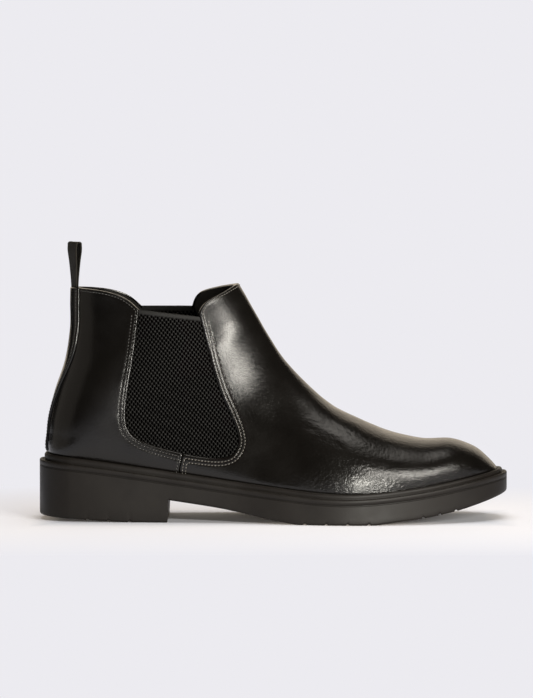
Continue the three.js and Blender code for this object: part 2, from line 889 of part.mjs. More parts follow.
function pullTab() {
  const shape = shapeOf(loopOutline(0));
  shape.holes.push(shapeOf(loopOutline(webbing)));
  const steps = { depth: tabWidth, bevelEnabled: false, steps: 2 };
  const loop = new THREE.ExtrudeGeometry(shape, steps).rotateX(Math.PI / 2).translate(0, tabWidth / 2, 0);
  const position = loop.getAttribute("position");
  const point = new THREE.Vector3();
  const up = new THREE.Vector3(0, 0, 1);
  for (let i = 0; i < position.count; i += 1) {
    point.fromBufferAttribute(position, i);
    const twist = tabTwistFoot + ((tabTwistTop - tabTwistFoot) * point.z) / tabHeight;
    point.applyAxisAngle(up, twist);
    position.setXYZ(i, point.x, point.y, point.z);
  }
  return solid(loop.translate(tabFoot.x, 0, tabFoot.z));
}

// The place of the loop's two ends, sewn in between the leather and the lining.
function tabPocket(clearance) {
  const half = tabWidth / 2 + clearance;
  const low = tabFoot.z - gap - tabRootDepth - clearance;
  return backPrism(rectangle(-half, half, low, far), -far, -100 * along);
}

function pullTabRoot() {
  return midShell.intersect(tabPocket(0)).intersect(sidePrism(quarterRegion("outer"), -far, far));
}

// ---------------------------------------------------------------- the boot

const finishes = {
  leather: { color: 0x0b0a09, roughness: 0.25, metalness: 0 },
  elastic: { color: 0x080808, roughness: 0.9, metalness: 0 },
  webbing: { color: 0x1b1815, roughness: 0.85, metalness: 0 },
  rubber: { color: 0x1d1a17, roughness: 0.6, metalness: 0 },
  textile: { color: 0x14120f, roughness: 0.9, metalness: 0 },
  suede: { color: 0x181410, roughness: 0.95, metalness: 0 },
  foam: { color: 0x3a3835, roughness: 0.95, metalness: 0 },
  stiffener: { color: 0x8d8678, roughness: 0.8, metalness: 0 },
  board: { color: 0x8a6f4d, roughness: 0.85, metalness: 0 },
  cork: { color: 0x9b7448, roughness: 0.95, metalness: 0 },
  steel: { color: 0x8f9296, roughness: 0.35, metalness: 1 },
};

const boot = new THREE.Group();

function addPiece(name, piece, finish) {
  const mesh = piece.getMesh();
  const geometry = new THREE.BufferGeometry();
  geometry.setAttribute("position", new THREE.BufferAttribute(mesh.vertProperties, 3));
  geometry.setIndex(new THREE.BufferAttribute(mesh.triVerts, 1));
  geometry.computeVertexNormals();
  const made = new THREE.Mesh(geometry, new THREE.MeshStandardMaterial(finishes[finish]));
  made.name = name;
  boot.add(made);
}

const sideName = { outer: "lateral", inner: "medial" };

addPiece("outsole", outsole(), "rubber");
addPiece("welt", welt(), "rubber");
addPiece("heel_filler", heelFiller(), "foam");
addPiece("bottom_filler", bottomFiller(), "cork");
addPiece("tuck_board", tuckBoard(), "board");
addPiece("shank", shank(), "steel");
addPiece("shank_rivet_rear", rivet(rivetPlaces[0]), "steel");
addPiece("shank_rivet_front", rivet(rivetPlaces[1]), "steel");
addPiece("insole_board", insoleBoard(), "board");
addPiece("heel_pad", heelPad(), "foam");
addPiece("footbed", footbed(), "foam");
addPiece("sock_lining", sockLining(), "textile");
addPiece("toe_puff", toePuff(), "stiffener");
addPiece("heel_counter", heelCounter(), "stiffener");
addPiece("vamp_interlining", vampInterlining(), "foam");
addPiece("collar_pad", collarPad(), "foam");
addPiece("vamp_lining", vampLining(), "textile");
addPiece("heel_grip", heelGrip(), "suede");
addPiece("vamp", vamp(), "leather");
addPiece("backstay", backstay(), "leather");
for (const side of sides) {
  addPiece(`quarter_${sideName[side]}`, quarter(side), "leather");
  addPiece(`gore_${sideName[side]}`, gore(side), "elastic");
  addPiece(`quarter_lining_${sideName[side]}`, quarterLining(side), "textile");
}
addPiece("pull_tab_root", pullTabRoot(), "webbing");
addPiece("pull_tab", pullTab(), "webbing");

boot.position.set(-centre[0], -centre[1], 0);

export default boot;
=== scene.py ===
"""The looks of a right Chelsea boot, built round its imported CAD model.

The leather, elastic and lining are nets over the same last that the CAD model uses: a smooth form given by
stations that fan from the toe, over the instep, to the collar. Lengths are in millimetres on the last and
become metres in the row frame when a mesh is made.
"""
import json
import math

import bmesh
import bpy
import numpy as np
from mathutils import Matrix, Vector, geometry, kdtree, noise


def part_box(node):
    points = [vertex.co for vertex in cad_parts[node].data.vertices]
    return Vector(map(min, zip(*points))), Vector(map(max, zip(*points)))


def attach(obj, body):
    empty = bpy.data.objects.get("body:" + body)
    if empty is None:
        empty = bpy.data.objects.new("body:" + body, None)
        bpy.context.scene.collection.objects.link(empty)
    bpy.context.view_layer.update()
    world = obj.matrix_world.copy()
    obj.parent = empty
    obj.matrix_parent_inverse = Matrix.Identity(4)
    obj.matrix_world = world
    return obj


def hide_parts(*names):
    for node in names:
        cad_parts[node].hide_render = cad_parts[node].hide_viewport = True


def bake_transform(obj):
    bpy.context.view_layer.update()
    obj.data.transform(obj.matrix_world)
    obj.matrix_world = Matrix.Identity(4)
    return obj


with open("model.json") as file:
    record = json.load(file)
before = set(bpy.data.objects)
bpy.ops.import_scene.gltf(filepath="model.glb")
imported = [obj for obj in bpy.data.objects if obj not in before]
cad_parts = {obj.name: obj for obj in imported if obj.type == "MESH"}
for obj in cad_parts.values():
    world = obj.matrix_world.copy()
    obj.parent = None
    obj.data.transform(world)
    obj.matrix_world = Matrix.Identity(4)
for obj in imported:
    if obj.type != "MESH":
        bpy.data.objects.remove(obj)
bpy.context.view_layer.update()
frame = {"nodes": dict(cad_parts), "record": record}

MM = 0.001

# ---- sizes, in millimetres

LEATHER = 1.4
MIDDLE = (1.7, 3.2)  # depth of the elastic and the padding
LINING = (3.5, 4.7)
INSIDE = 5.3
WELT_REACH = 6.3
WELT_THICKNESS = 3.4
BEAD_REACH = 3.2
BEAD_HEIGHTS = (4.4, 2.8)  # above the rim, at the heel and at the toe
STITCH_PITCH = 2.1
STITCH_HALF = 0.37  # of the pitch, from a stitch's middle to its end
THREAD = 0.37
ROWS = (1.7, 3.9)  # stitch rows, in from a leather edge
TAB_HEIGHT = 28.6
TAB_WIDTH = 12.0
WEBBING = 0.9
FORWARD = 2.0  # of the upper over the sole
HOLE_STEP = (2.6, 3.3)  # between the holes of the elastic's weave, along and up
HOLE_SIZE = (0.86, 1.42)

# ---- the last

SEAT = [(-151, 38.8), (-110, 34.51), (-60, 27.73), (-10, 21.06), (45, 16.2), (95, 20.19), (151, 30.2)]
UNDER = -WELT_THICKNESS
STATIONS = np.array([
    [145.3, 2.3, 145.3, 2.3, 0, 0, 0.5, 2, 2, 4],
    [143.3, 5.9, 144, -0.6, 10, 10, 0.5, 2, 2.2, 4],
    [137.3, 12.1, 138.4, -2.8, 19, 19, 0.58, 2.1, 2.6, 4],
    [127.3, 20.7, 128, UNDER, 27.5, 27, 0.66, 2.2, 3.2, 3.6],
    [113.3, 27.8, 113, UNDER, 35.5, 33.5, 0.72, 2.3, 3.8, 3],
    [95, 30.8, 94, UNDER, 43, 38.5, 0.76, 2.3, 4.2, 2.4],
    [74, 38.2, 71, UNDER, 47.5, 40.5, 0.78, 2.2, 4.5, 1.6],
    [54, 47.9, 45, UNDER, 49, 40, 0.78, 2.15, 4.5, 1],
    [36, 56.8, 14, UNDER, 44, 35, 0.78, 2.1, 4.5, 0.5],
    [20, 69.4, -24, UNDER, 35, 30, 0.76, 2.05, 4.2, 0],
    [6, 83.2, -68, UNDER, 31, 29, 0.74, 2, 4, 0],
    [-5, 98.9, -110, UNDER, 30.5, 30, 0.72, 2, 3.4, 0],
    [-10.5, 107.8, -137, -2.8, 30.5, 30.3, 0.7, 2, 2.7, 0],
    [-13.5, 112.7, -144.2, 7.8, 30.8, 30.6, 0.68, 2, 2.3, 0],
    [-16, 116.9, -144.5, 23.8, 30.8, 30.6, 0.64, 2, 2.15, 0],
    [-18.5, 121.1, -139.8, 44.1, 30.4, 30.4, 0.6, 2, 2.1, 0],
    [-21, 125, -133.2, 64.7, 30, 30, 0.56, 2, 2.1, 0],
    [-23.7, 129.3, -130, 85.2, 29.7, 29.7, 0.53, 2, 2.1, 0],
    [-26.5, 133.8, -129, 105.3, 29.5, 29.5, 0.51, 2.05, 2.1, 0],
    [-29.5, 138.4, -128.8, 125.3, 29.5, 29.5, 0.5, 2.05, 2.1, 0],
])
LAST = len(STATIONS) - 1
FEATHER = STATIONS[0][1]  # height above the rim at which the upper meets the welt
nose = STATIONS[1]
past_nose = [*nose[2:4], *nose[0:2], *-nose[4:6], *nose[6:]]
KNOTS = np.vstack([past_nose, STATIONS, 2 * STATIONS[-1] - STATIONS[-2]])


def between(a, b, c, d, t):
    """Catmull-Rom through four neighbours, t from the second to the third."""
    return b + ((c - a) * t + (2 * a - 5 * b + 4 * c - d) * t ** 2 + (3 * b - a - 3 * c + d) * t ** 3) / 2


def smoothstep(t):
    t = np.clip(t, 0, 1)
    return t * t * (3 - 2 * t)


def curve(points, t):
    """A smooth curve through points at t, counted in points. Its ends run straight on."""
    p = np.asarray(points, float)
    p = np.vstack([2 * p[0] - p[1], p, 2 * p[-1] - p[-2]])
    i = np.clip(np.floor(t).astype(int), 0, len(p) - 4)
    return between(p[i], p[i + 1], p[i + 2], p[i + 3], (t - i)[:, None])


def smooth_line(points, each=6):
    """The curve through points as a list of points, `each` steps from one to the next."""
    return curve(points, np.linspace(0, len(points) - 1, (len(points) - 1) * each + 1))


seat_line = smooth_line(SEAT, 200)


def seat(x):
    """Height of the sole's rim above the floor."""
    return np.interp(x, seat_line[:, 0], seat_line[:, 1])


def above_rim(points):
    return points[:, 2] - seat(points[:, 0])


def station(u):
    """Ridge and underside points, and the ten numbers of the section at u."""
    u = np.clip(u, 0, LAST)
    i = np.clip(np.floor(u).astype(int), 0, LAST - 1)
    v = between(KNOTS[i], KNOTS[i + 1], KNOTS[i + 2], KNOTS[i + 3], (u - i)[:, None])
    ridge = np.stack([v[:, 0], seat(v[:, 0]) + v[:, 1]], 1)
    under = np.stack([v[:, 2], seat(v[:, 2]) + np.maximum(v[:, 3], UNDER)], 1)
    return ridge, under, v


def inward(before, after, turn, start):
    """Unit normals in the side view that point into the last, square to the run of one of its lines."""
    d = after - before
    d /= np.maximum(np.linalg.norm(d, axis=1), 1e-9)[:, None]
    n = np.stack([-turn * d[:, 1], turn * d[:, 0]], 1)
    n[start] = (-1, 0)
    return n


def surface(u, s, depth=0.0):
    """Points of the last. s runs round from -2 underneath, over -1 on the outer side, 0 on the ridge and 1
    on the inner side, to 2 underneath again. depth is how far in from the leather's surface they lie."""
    step = 0.02
    s = (s + 2) % 4 - 2
    ridge, under, v = station(u)
    r0, b0, v0 = station(u - step)
    r1, b1, v1 = station(u + step)
    start = u < step
    depth = np.broadcast_to(depth, u.shape)
    ridge = ridge + depth[:, None] * inward(r0, r1, 1, start)
    under = under + depth[:, None] * inward(b0, b1, -1, start)
    run = np.linalg.norm(r1 + b1 - r0 - b0, axis=1) / 2
    thinner = depth * run / np.hypot(run, (v1[:, 4:6] - v0[:, 4:6]).sum(1) / 2)
    half = np.where(s < 0, v[:, 4], v[:, 5]) - thinner
    a = np.abs(s)
    crown = a <= 1
    angle = np.where(crown, a, 2 - a) * math.pi / 2
    power = np.where(crown, v[:, 7], v[:, 8])
    c = np.maximum(np.cos(angle), 0)
    w = np.maximum(np.sin(angle), 0)
    size = (c ** power + w ** power) ** (1 / power)
    c, w = c / size, w / size
    p = np.where(crown, v[:, 6] * (1 - c), v[:, 6] + (1 - v[:, 6]) * c)[:, None]
    xz = ridge + p * (under - ridge)
    y = v[:, 9] + np.sign(s) * half * w
    return np.stack([xz[:, 0], y, xz[:, 1]], 1)


def normals(u, s):
    """Outward normals of the last."""
    du = surface(np.minimum(u + 0.02, LAST), s) - surface(np.maximum(u - 0.02, 0.001), s)
    ds = surface(u, s + 0.01) - surface(u, s - 0.01)
    n = np.cross(du, ds)
    n /= np.maximum(np.linalg.norm(n, axis=1), 1e-9)[:, None]
    out = surface(u, s) - surface(u, s, 1.0)
    return n * np.sign((n * out).sum(1))[:, None]


# ---- pattern lines from the side, [x, height]

WINDOW_LOW = [
    (-33.3, 57.3), (-27, 44), (-23.2, 33.7), (-22.9, 26.5), (-27, 19.3), (-35, 15.8), (-50.4, 15),
    (-61, 15.8), (-77.5, 17.9), (-88.5, 21.6), (-93.8, 28), (-94.8, 38), (-93, 54), (-89.8, 73.7),
    (-87.4, 93.5), (-86.3, 104),
]
WINDOW = {
    -1: [(-46.8, 104.5), (-43.5, 91.7), (-38.7, 73)] + WINDOW_LOW,
    1: [(-52.6, 108.8), (-47.2, 93.5), (-39.6, 73.4)] + WINDOW_LOW,
}
COLLAR_FRONT = {
    -1: [(-46.8, 104.5), (-47, 108.6), (-43.3, 114.6), (-37.4, 118.9), (-30.5, 123.4), (-22.8, 128.8)],
    1: [(-52.6, 108.8), (-50, 115.8), (-45.9, 120), (-36, 124.3), (-22.8, 128.8)],
}
COLLAR_BACK = [(-86.3, 104), (-92.2, 108.2), (-98.5, 110.9), (-108, 112.3), (-118, 112.4), (-130, 111.9)]
SEAM_X = -58.5
SEAM_HALF = 0.12
FAR = 400
SIDES = ((-1, "lateral"), (1, "medial"))


def drawn(points):
    """A pattern line as [x, z]."""
    xh = smooth_line(points)
    return np.stack([xh[:, 0], xh[:, 1] + seat(xh[:, 0])], 1)


window = {side: drawn(WINDOW[side]) for side in (-1, 1)}
collar_front = {side: drawn(COLLAR_FRONT[side]) for side in (-1, 1)}
collar_back = drawn(COLLAR_BACK)


def window_parts(side):
    line = window[side]
    low = line[:, 1] < seat(line[:, 0]) + 40
    cut = int(np.argmax((line[:, 0] < SEAM_X) & low))
    return line[:cut], line[cut:]


def vamp_outline(side):
    front, _ = window_parts(side)
    collar = collar_front[side][::-1]
    x = SEAM_X + SEAM_HALF
    end = collar[0] + (collar[0] - collar[1]) * 30
    return np.vstack([[(x, -FAR), (FAR, -FAR), (FAR, FAR), end], collar[:-1], front, [(x, front[-1][1])]])


def quarter_outline(side):
    _, back = window_parts(side)
    x = SEAM_X - SEAM_HALF
    top = (-FAR, collar_back[-1][1])
    return np.vstack([[(x, -FAR), (x, back[0][1])], back, collar_back[1:], [top, (-FAR, -FAR)]])


def line_distance(xz, line):
    """Distance of points from an open line."""
    a, b = line[:-1], line[1:]
    d = b - a
    best = np.full(len(xz), 1e9)
    for start in range(0, len(xz), 8000):
        p = xz[start:start + 8000, None, :]
        t = np.clip(((p - a) * d).sum(2) / np.maximum((d * d).sum(1), 1e-12), 0, 1)
        best[start:start + 8000] = np.linalg.norm(p - a - t[:, :, None] * d, axis=2).min(1)
    return best


def outline_distance(xz, outline):
    """Distance of points from a closed outline, positive inside it."""
    closed = np.vstack([outline, outline[:1]])
    inside = np.zeros(len(xz), bool)
    for a, b in zip(closed[:-1], closed[1:]):
        if a[1] != b[1]:
            crosses = (a[1] > xz[:, 1]) != (b[1] > xz[:, 1])
            inside ^= crosses & (xz[:, 0] < a[0] + (b[0] - a[0]) * (xz[:, 1] - a[1]) / (b[1] - a[1]))
    return np.where(inside, 1, -1) * line_distance(xz, closed)


# ---- nets

SNAP = 0.06  # a corner this near to a level line counts as on it


class Net:
    """Faces over a flat (u, s) plane, placed on the boot, that can be split along level lines."""

    def __init__(self, us, ss, place):
        grid = np.stack(np.meshgrid(us, ss, indexing="ij"), 2)
        rows, columns = grid.shape[:2]
        self.at = grid.reshape(-1, 2)
        self.place = place
        k = np.arange(rows * columns).reshape(rows, columns)
        quads = np.stack([k[:-1, :-1], k[:-1, 1:], k[1:, 1:], k[1:, :-1]], 2).reshape(-1, 4)
        self.faces = [tuple(q) for q in quads.tolist()]

    def value(self, field):
        return field(self.at, self.place(self.at))

    def split(self, field, level=0.0, drop=False):
        """Cuts every face that the field's level line crosses, and returns the line as pairs of corners."""
        v = self.value(field) - level
        v[np.abs(v) < SNAP] = 0
        above = (v > 0).tolist()
        value = v.tolist()
        made, points, out, line = {}, [], [], []

        def crossing(i, j):
            if value[i] == 0 or value[j] == 0:
                return i if value[i] == 0 else j
            key = (min(i, j), max(i, j))
            if key not in made:
                t = value[i] / (value[i] - value[j])
                made[key] = len(self.at) + len(points)
                points.append(self.at[i] + t * (self.at[j] - self.at[i]))
            return made[key]

        for face in self.faces:
            up = [above[i] for i in face]
            if all(up):
                out.append(face)
            elif not any(up):
                if not drop:
                    out.append(face)
            else:
                high, low, ends = [], [], []
                for i, j in zip(face, face[1:] + face[:1]):
                    (high if above[i] else low).append(i)
                    if above[i] != above[j]:
                        k = crossing(i, j)
                        high.append(k)
                        low.append(k)
                        ends.append(k)
                for part in ([high] if drop else [high, low]):
                    part = [k for n, k in enumerate(part) if k != part[n - 1]]
                    if len(part) > 2:
                        out.append(tuple(part))
                if len(ends) == 2 and ends[0] != ends[1]:
                    line.append((ends[0], ends[1]))
        self.faces = out
        if points:
            self.at = np.vstack([self.at, points])
        return line

    def bands(self, field, middle):
        """Splits on both sides of a level line and along it, and returns the line."""
        self.split(field, middle - 0.5)
        line = self.split(field, middle)
        self.split(field, middle + 0.5)
        return line


def chains(pairs):
    """Joins pairs of corners end to end into lines."""
    touching = {}
    for a, b in pairs:
        touching.setdefault(a, set()).add(b)
        touching.setdefault(b, set()).add(a)
    lines = []
    starts = [k for k in touching if len(touching[k]) == 1] + list(touching)
    for start in starts:
        if not touching.get(start):
            continue
        line = [start]
        while touching.get(line[-1]):
            k = touching[line[-1]].pop()
            touching[k].discard(line[-1])
            line.append(k)
        lines.append(line)
    return lines


def even(points, step):
    """A line through 3-D points in even steps of about `step`."""
    points = np.asarray(points, float)
    run = np.concatenate([[0], np.cumsum(np.linalg.norm(np.diff(points, axis=0), axis=1))])
    count = max(int(round(run[-1] / step)), 1)
    want = np.linspace(0, run[-1], count + 1)
    return np.stack([np.interp(want, run, points[:, k]) for k in range(points.shape[1])], 1)


# ---- meshes

# The last's own frame lies a little beside the row frame, which is centred on the outsole.
tab_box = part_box("pull_tab_root")
SHIFT = np.array([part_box("vamp")[1][0] / MM - STATIONS[0][0], (tab_box[0][1] + tab_box[1][1]) / 2 / MM, 0])


def leaned(points):
    """The worn-in upper stands a little further forward than the bare last."""
    points = np.array(points, float)
    height = above_rim(points)
    at_tab = smoothstep((-points[:, 0] - 100) / 20) * smoothstep((height - 85) / 20)
    points[:, 0] += FORWARD * smoothstep((height - 4) / 14) * (1 - 0.4 * at_tab)
    return points


def make(name, points, faces, material, slot, body="boot", sharp=50, marks=None, lean=True):
    """A mesh piece from points in the last's frame, in millimetres."""
    points = leaned(points) if lean else np.asarray(points)
    mesh = bpy.data.meshes.new(name)
    mesh.from_pydata(((points + SHIFT) * MM).tolist(), [], faces)
    mesh.validate()
    mesh.polygons.foreach_set("use_smooth", [True] * len(mesh.polygons))
    if sharp:
        mesh.set_sharp_from_angle(angle=math.radians(sharp))
    for mark, values in (marks or {}).items():
        layer = mesh.attributes.new(mark, "FLOAT", "POINT")
        layer.data.foreach_set("value", np.asarray(values, np.float32))
    piece = bpy.data.objects.new(name, mesh)
    bpy.context.scene.collection.objects.link(piece)
    mesh.materials.append(material)
    if body:
        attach(piece, body)
    return piece


def closed_skin(faces, count):
    """An outer skin's faces, the same ones turned over `count` corners further on, and the wall between."""
    edges = {(i, j): True for face in faces for i, j in zip(face, face[1:] + face[:1])}
    back = [tuple(k + count for k in reversed(face)) for face in faces]
    wall = [(j, i, i + count, j + count) for i, j in edges if (j, i) not in edges]
    return faces + back + wall


def shell(name, net, outside, inside, material, slot, marks=None):
    """A closed skin over a net, between two depths, each a number or one for every corner."""
    used = sorted({k for face in net.faces for k in face})
    new = {k: n for n, k in enumerate(used)}
    count = len(used)
    outer = net.place(net.at, outside)[used]
    inner = net.place(net.at, inside)[used]
    faces = [tuple(new[k] for k in face) for face in net.faces]
    first, second, third = (np.array([face[k] for face in faces]) for k in (0, 1, 2))
    a = outer[first]
    facing = (np.cross(outer[second] - a, outer[third] - a) * (a - inner[first])).sum()
    every = closed_skin(faces, count)
    if facing < 0:
        every = [tuple(reversed(face)) for face in every]
    both = {key: np.tile(np.asarray(v)[used], 2) for key, v in (marks or {}).items()}
    return make(name, np.vstack([outer, inner]), every, material, slot, marks=both)


def loft(rings, caps=True):
    """The points of closed rings of equal length as one array, and the faces between them."""
    count, size = len(rings), len(rings[0])
    faces = []
    for i in range(count - 1):
        for k in range(size):
            n = (k + 1) % size
            faces.append((i * size + k, i * size + n, (i + 1) * size + n, (i + 1) * size + k))
    if caps:
        faces.append(tuple(reversed(range(size))))
        faces.append(tuple(range((count - 1) * size, count * size)))
    return np.vstack(rings), faces


def tidy(piece, merge=0.01):
    """Makes a piece's faces point out and joins corners that meet."""
    bm = bmesh.new()
    bm.from_mesh(piece.data)
    bmesh.ops.remove_doubles(bm, verts=bm.verts, dist=merge * MM)
    bmesh.ops.recalc_face_normals(bm, faces=bm.faces)
    bm.to_mesh(piece.data)
    bm.free()


# ---- materials

class Shader:
    """A short way to write node materials."""

    def __init__(self, name):
        self.material = bpy.data.materials.new(name)
        self.material.use_nodes = True
        self.tree = self.material.node_tree
        self.surface = self.tree.nodes["Principled BSDF"]
        self.coordinates = self.node("TexCoord").outputs["Object"]

    def node(self, kind, settings=None, **inputs):
        made = self.tree.nodes.new("ShaderNode" + kind)
        for key, value in (settings or {}).items():
            setattr(made, key, value)
        for key, value in inputs.items():
            self.put(made.inputs[key.replace("_", " ")], value)
        return made

    def put(self, socket, value):
        if isinstance(value, bpy.types.NodeSocket):
            self.tree.links.new(value, socket)
        elif isinstance(value, tuple) and len(value) == 3 and socket.type == "RGBA":
            socket.default_value = (*value, 1)
        else:
            socket.default_value = value

    def set(self, **inputs):
        for key, value in inputs.items():
            self.put(self.surface.inputs[key.replace("_", " ")], value)

    def stretched(self, scale):
        made = self.node("Mapping", Vector=self.coordinates)
        made.inputs["Scale"].default_value = scale
        return made.outputs["Vector"]

    def noise(self, scale, detail=3.0, roughness=0.5, vector=None):
        return self.node("TexNoise", Vector=vector or self.coordinates, Scale=scale, Detail=detail,
                         Roughness=roughness).outputs["Fac"]

    def cells(self, scale):
        return self.node("TexVoronoi", Vector=self.coordinates, Scale=scale).outputs["Distance"]

    def waves(self, direction, scale, distortion):
        return self.node("TexWave", {"bands_direction": direction}, Vector=self.coordinates, Scale=scale,
                         Distortion=distortion).outputs["Fac"]

    def spread(self, value, low, high, from_low=0.0, from_high=1.0):
        limits = {"From Min": from_low, "From Max": from_high, "To Min": low, "To Max": high}
        return self.node("MapRange", {"clamp": True}, Value=value, **limits).outputs["Result"]

    def mix(self, value, low, high):
        made = self.node("Mix", {"data_type": "RGBA"})
        self.put(made.inputs["Factor"], value)
        self.put(made.inputs[6], low)
        self.put(made.inputs[7], high)
        return made.outputs[2]

    def math(self, operation, a, b=0.0):
        made = self.node("Math", {"operation": operation})
        self.put(made.inputs[0], a)
        self.put(made.inputs[1], b)
        return made.outputs[0]

    def mark(self, name):
        return self.node("Attribute", {"attribute_name": name}).outputs["Fac"]

    def bump(self, height, distance, strength=1.0, over=None):
        made = self.node("Bump", Height=height, Distance=distance, Strength=strength)
        if over:
            self.put(made.inputs["Normal"], over)
        return made.outputs["Normal"]


def leather_material():
    s = Shader("black_calf")
    patches = s.noise(42, 4, 0.6)
    s.set(Base_Color=s.mix(patches, (0.0022, 0.0019, 0.0016), (0.0055, 0.0047, 0.0039)),
          Roughness=s.spread(patches, 0.16, 0.26, 0.3, 0.7), Specular_IOR_Level=0.38)
    forward = s.node("SeparateXYZ", Vector=s.coordinates).outputs[0]
    flexed = s.spread(forward, 0.12, 1.0, -0.02, 0.03)
    grain = s.bump(s.cells(1400), 0.00006, 0.28)
    wrinkle = s.bump(s.noise(700, 3, 0.6, s.stretched((1, 1, 1.7))), 0.00020, 0.38, grain)
    pebble = s.math("MULTIPLY", s.noise(480, 3, 0.6), flexed)
    s.set(Normal=s.bump(pebble, 0.0007, 0.42, wrinkle))
    return s.material


def thread_material(name, low, high):
    s = Shader(name)
    twist = s.waves("DIAGONAL", 900.0, 1.0)
    s.set(Base_Color=s.mix(s.noise(300), low, high), Roughness=0.34, Specular_IOR_Level=0.7,
          Normal=s.bump(twist, 0.00004, 0.4))
    return s.material


def elastic_material():
    """Staggered rows of tall holes between fine threads, with painted shade darkening the holes, over the
    relief of the same weave.
    """
    s = Shader("woven_elastic")
    nearest = None
    for shift in (0.0, 0.5):
        squares = []
        for mark, step, size in zip(("weave_x", "weave_z"), HOLE_STEP, HOLE_SIZE):
            share = s.math("FRACT", s.math("ADD", s.mark(mark), shift + 100.0))
            beside = s.math("MULTIPLY", s.math("SUBTRACT", share, 0.5), step / size)
            squares.append(s.math("POWER", beside, 2.0))
        reach = s.math("SQRT", s.math("ADD", *squares))
        nearest = s.math("MINIMUM", nearest, reach) if nearest else reach
    woven = s.mark("woven")
    hole = s.math("MULTIPLY", s.spread(nearest, 1.0, 0.0, 0.72, 0.98), woven)
    fuzz = s.noise(1600, 2)
    yarn = s.mix(fuzz, (0.0025, 0.0023, 0.0020), (0.0080, 0.0073, 0.0063))
    yarn = s.mix(woven, (0.0045, 0.0042, 0.0037), yarn)
    # Painted shade: the weave's holes take a near-black colour in place of the shade inside them.
    s.set(Base_Color=s.mix(hole, yarn, (0.0004, 0.0003, 0.0003)), Roughness=s.spread(hole, 0.55, 0.95),
          Specular_IOR_Level=s.spread(hole, 0.20, 0.0))
    rib = s.waves("X", 620.0, 0.6)
    s.set(Normal=s.bump(fuzz, 0.00008, 0.5, s.bump(rib, 0.00010, 0.4)))
    return s.material


def webbing_material():
    s = Shader("woven_ribbon")
    across, along = (s.math("SINE", s.math("MULTIPLY", s.mark(mark), 2 * math.pi / pitch))
                     for mark, pitch in (("across", 0.9), ("along", 0.7)))
    weave = s.math("MULTIPLY", across, along)
    s.set(Base_Color=s.mix(s.noise(450, 3), (0.010, 0.0085, 0.0065), (0.028, 0.024, 0.018)),
          Roughness=0.75, Specular_IOR_Level=0.3, Normal=s.bump(weave, 0.00012, 0.6))
    return s.material


def rubber_material():
    s = Shader("moulded_rubber")
    patches = s.noise(60, 4, 0.6)
    s.set(Base_Color=s.mix(patches, (0.0050, 0.0039, 0.0031), (0.0090, 0.0071, 0.0056)),
          Roughness=s.spread(patches, 0.42, 0.55, 0.3, 0.7), Specular_IOR_Level=0.23,
          Normal=s.bump(s.noise(1400, 3), 0.00006, 0.35, s.bump(s.noise(90, 3), 0.0003, 0.12)))
    return s.material


def lining_material():
    s = Shader("woven_lining")
    twill = s.waves("DIAGONAL", 420.0, 0.4)
    s.set(Base_Color=s.mix(s.noise(500, 3), (0.0045, 0.004, 0.0036), (0.012, 0.0105, 0.009)),
          Roughness=0.85, Specular_IOR_Level=0.25,
          Normal=s.bump(twill, 0.00015, 0.5, s.bump(s.noise(120), 0.0004, 0.3)))
    return s.material


def plain_material(name, low, high, roughness, metal=0.0, scale=250.0):
    s = Shader(name)
    s.set(Base_Color=s.mix(s.noise(scale, 4, 0.6), low, high), Roughness=roughness, Metallic=metal,
          Normal=s.bump(s.noise(scale * 3, 3), 0.0001, 0.5))
    return s.material


leather = leather_material()
# A lighter copy of the black thread: a painted highlight for stitch rows that catch the light.
thread = thread_material("thread_painted_highlight", (0.040, 0.036, 0.030), (0.110, 0.098, 0.084))
dark_thread = thread_material("dark_thread", (0.010, 0.009, 0.0075), (0.030, 0.027, 0.023))
elastic = elastic_material()
webbing = webbing_material()
rubber = rubber_material()
lining = lining_material()
foam = plain_material("grey_foam", (0.10, 0.10, 0.095), (0.17, 0.16, 0.155), 0.95)
stiffener = plain_material("pressed_fibre", (0.26, 0.23, 0.19), (0.36, 0.32, 0.27), 0.8)
suede = plain_material("napped_leather", (0.012, 0.010, 0.009), (0.026, 0.022, 0.019), 0.95, scale=700.0)
BY_SLOT = {
    "foam": foam,
    "cork": plain_material("bound_cork", (0.20, 0.12, 0.05), (0.50, 0.33, 0.17), 0.9, scale=400.0),
    "board": plain_material("fibre_board", (0.24, 0.16, 0.09), (0.36, 0.25, 0.15), 0.85),
    "stiffener": stiffener,
    "steel": plain_material("rolled_steel", (0.36, 0.37, 0.39), (0.50, 0.51, 0.53), 0.38, 1.0, 120.0),
    "suede": suede,
    "textile": lining,
    "webbing": webbing,
    "leather": leather,
    "elastic": elastic,
    "rubber": rubber,
}

# ---- the upper

SPACING = 1.5
QUARTER_STEPS = 52  # net columns in a quarter of the way round
EDGE_RADIUS = 0.7
EDGE_LINES = (0.25, 0.7)  # where the nets are split so that a rounded edge has corners


def even_stations(start, end, spacing, lines=(0.0, 1.0, 1.4, 2.0)):
    """Station values so that the net's rows are nowhere much further apart than spacing where they show."""
    u = np.linspace(start, end, 600)
    longest = np.zeros(len(u) - 1)
    for a in lines:
        p = surface(u, np.full(len(u), -a))
        shown = above_rim(p[1:]) > -2
        step = np.linalg.norm(np.diff(p, axis=0), axis=1)
        longest = np.maximum(longest, np.where(shown, step, 0))
    run = np.concatenate([[0], np.cumsum(longest)])
    return np.interp(np.linspace(0, run[-1], int(run[-1] / spacing) + 1), run, u)


def leather_place(at, depth=0.0):
    return surface(at[:, 0], at[:, 1], depth)


def low_edge(below):
    """Where a net ends, `below` under the rim."""
    return lambda at, points: above_rim(points) + below


def either(lines, distance=line_distance, middle=0):
    """Distance from whichever of the two sides' lines a point belongs to. The sides meet at s = middle."""
    def field(at, points):
        xz = points[:, [0, 2]]
        return np.where(at[:, 1] < middle, distance(xz, lines[-1]), distance(xz, lines[1]))
    return field


def quarter_field(side):
    def field(at, points):
        flank = outline_distance(points[:, [0, 2]], quarter_line[side])
        return np.minimum(flank, np.abs(points[:, 1]) - SEAM_HALF)
    return field


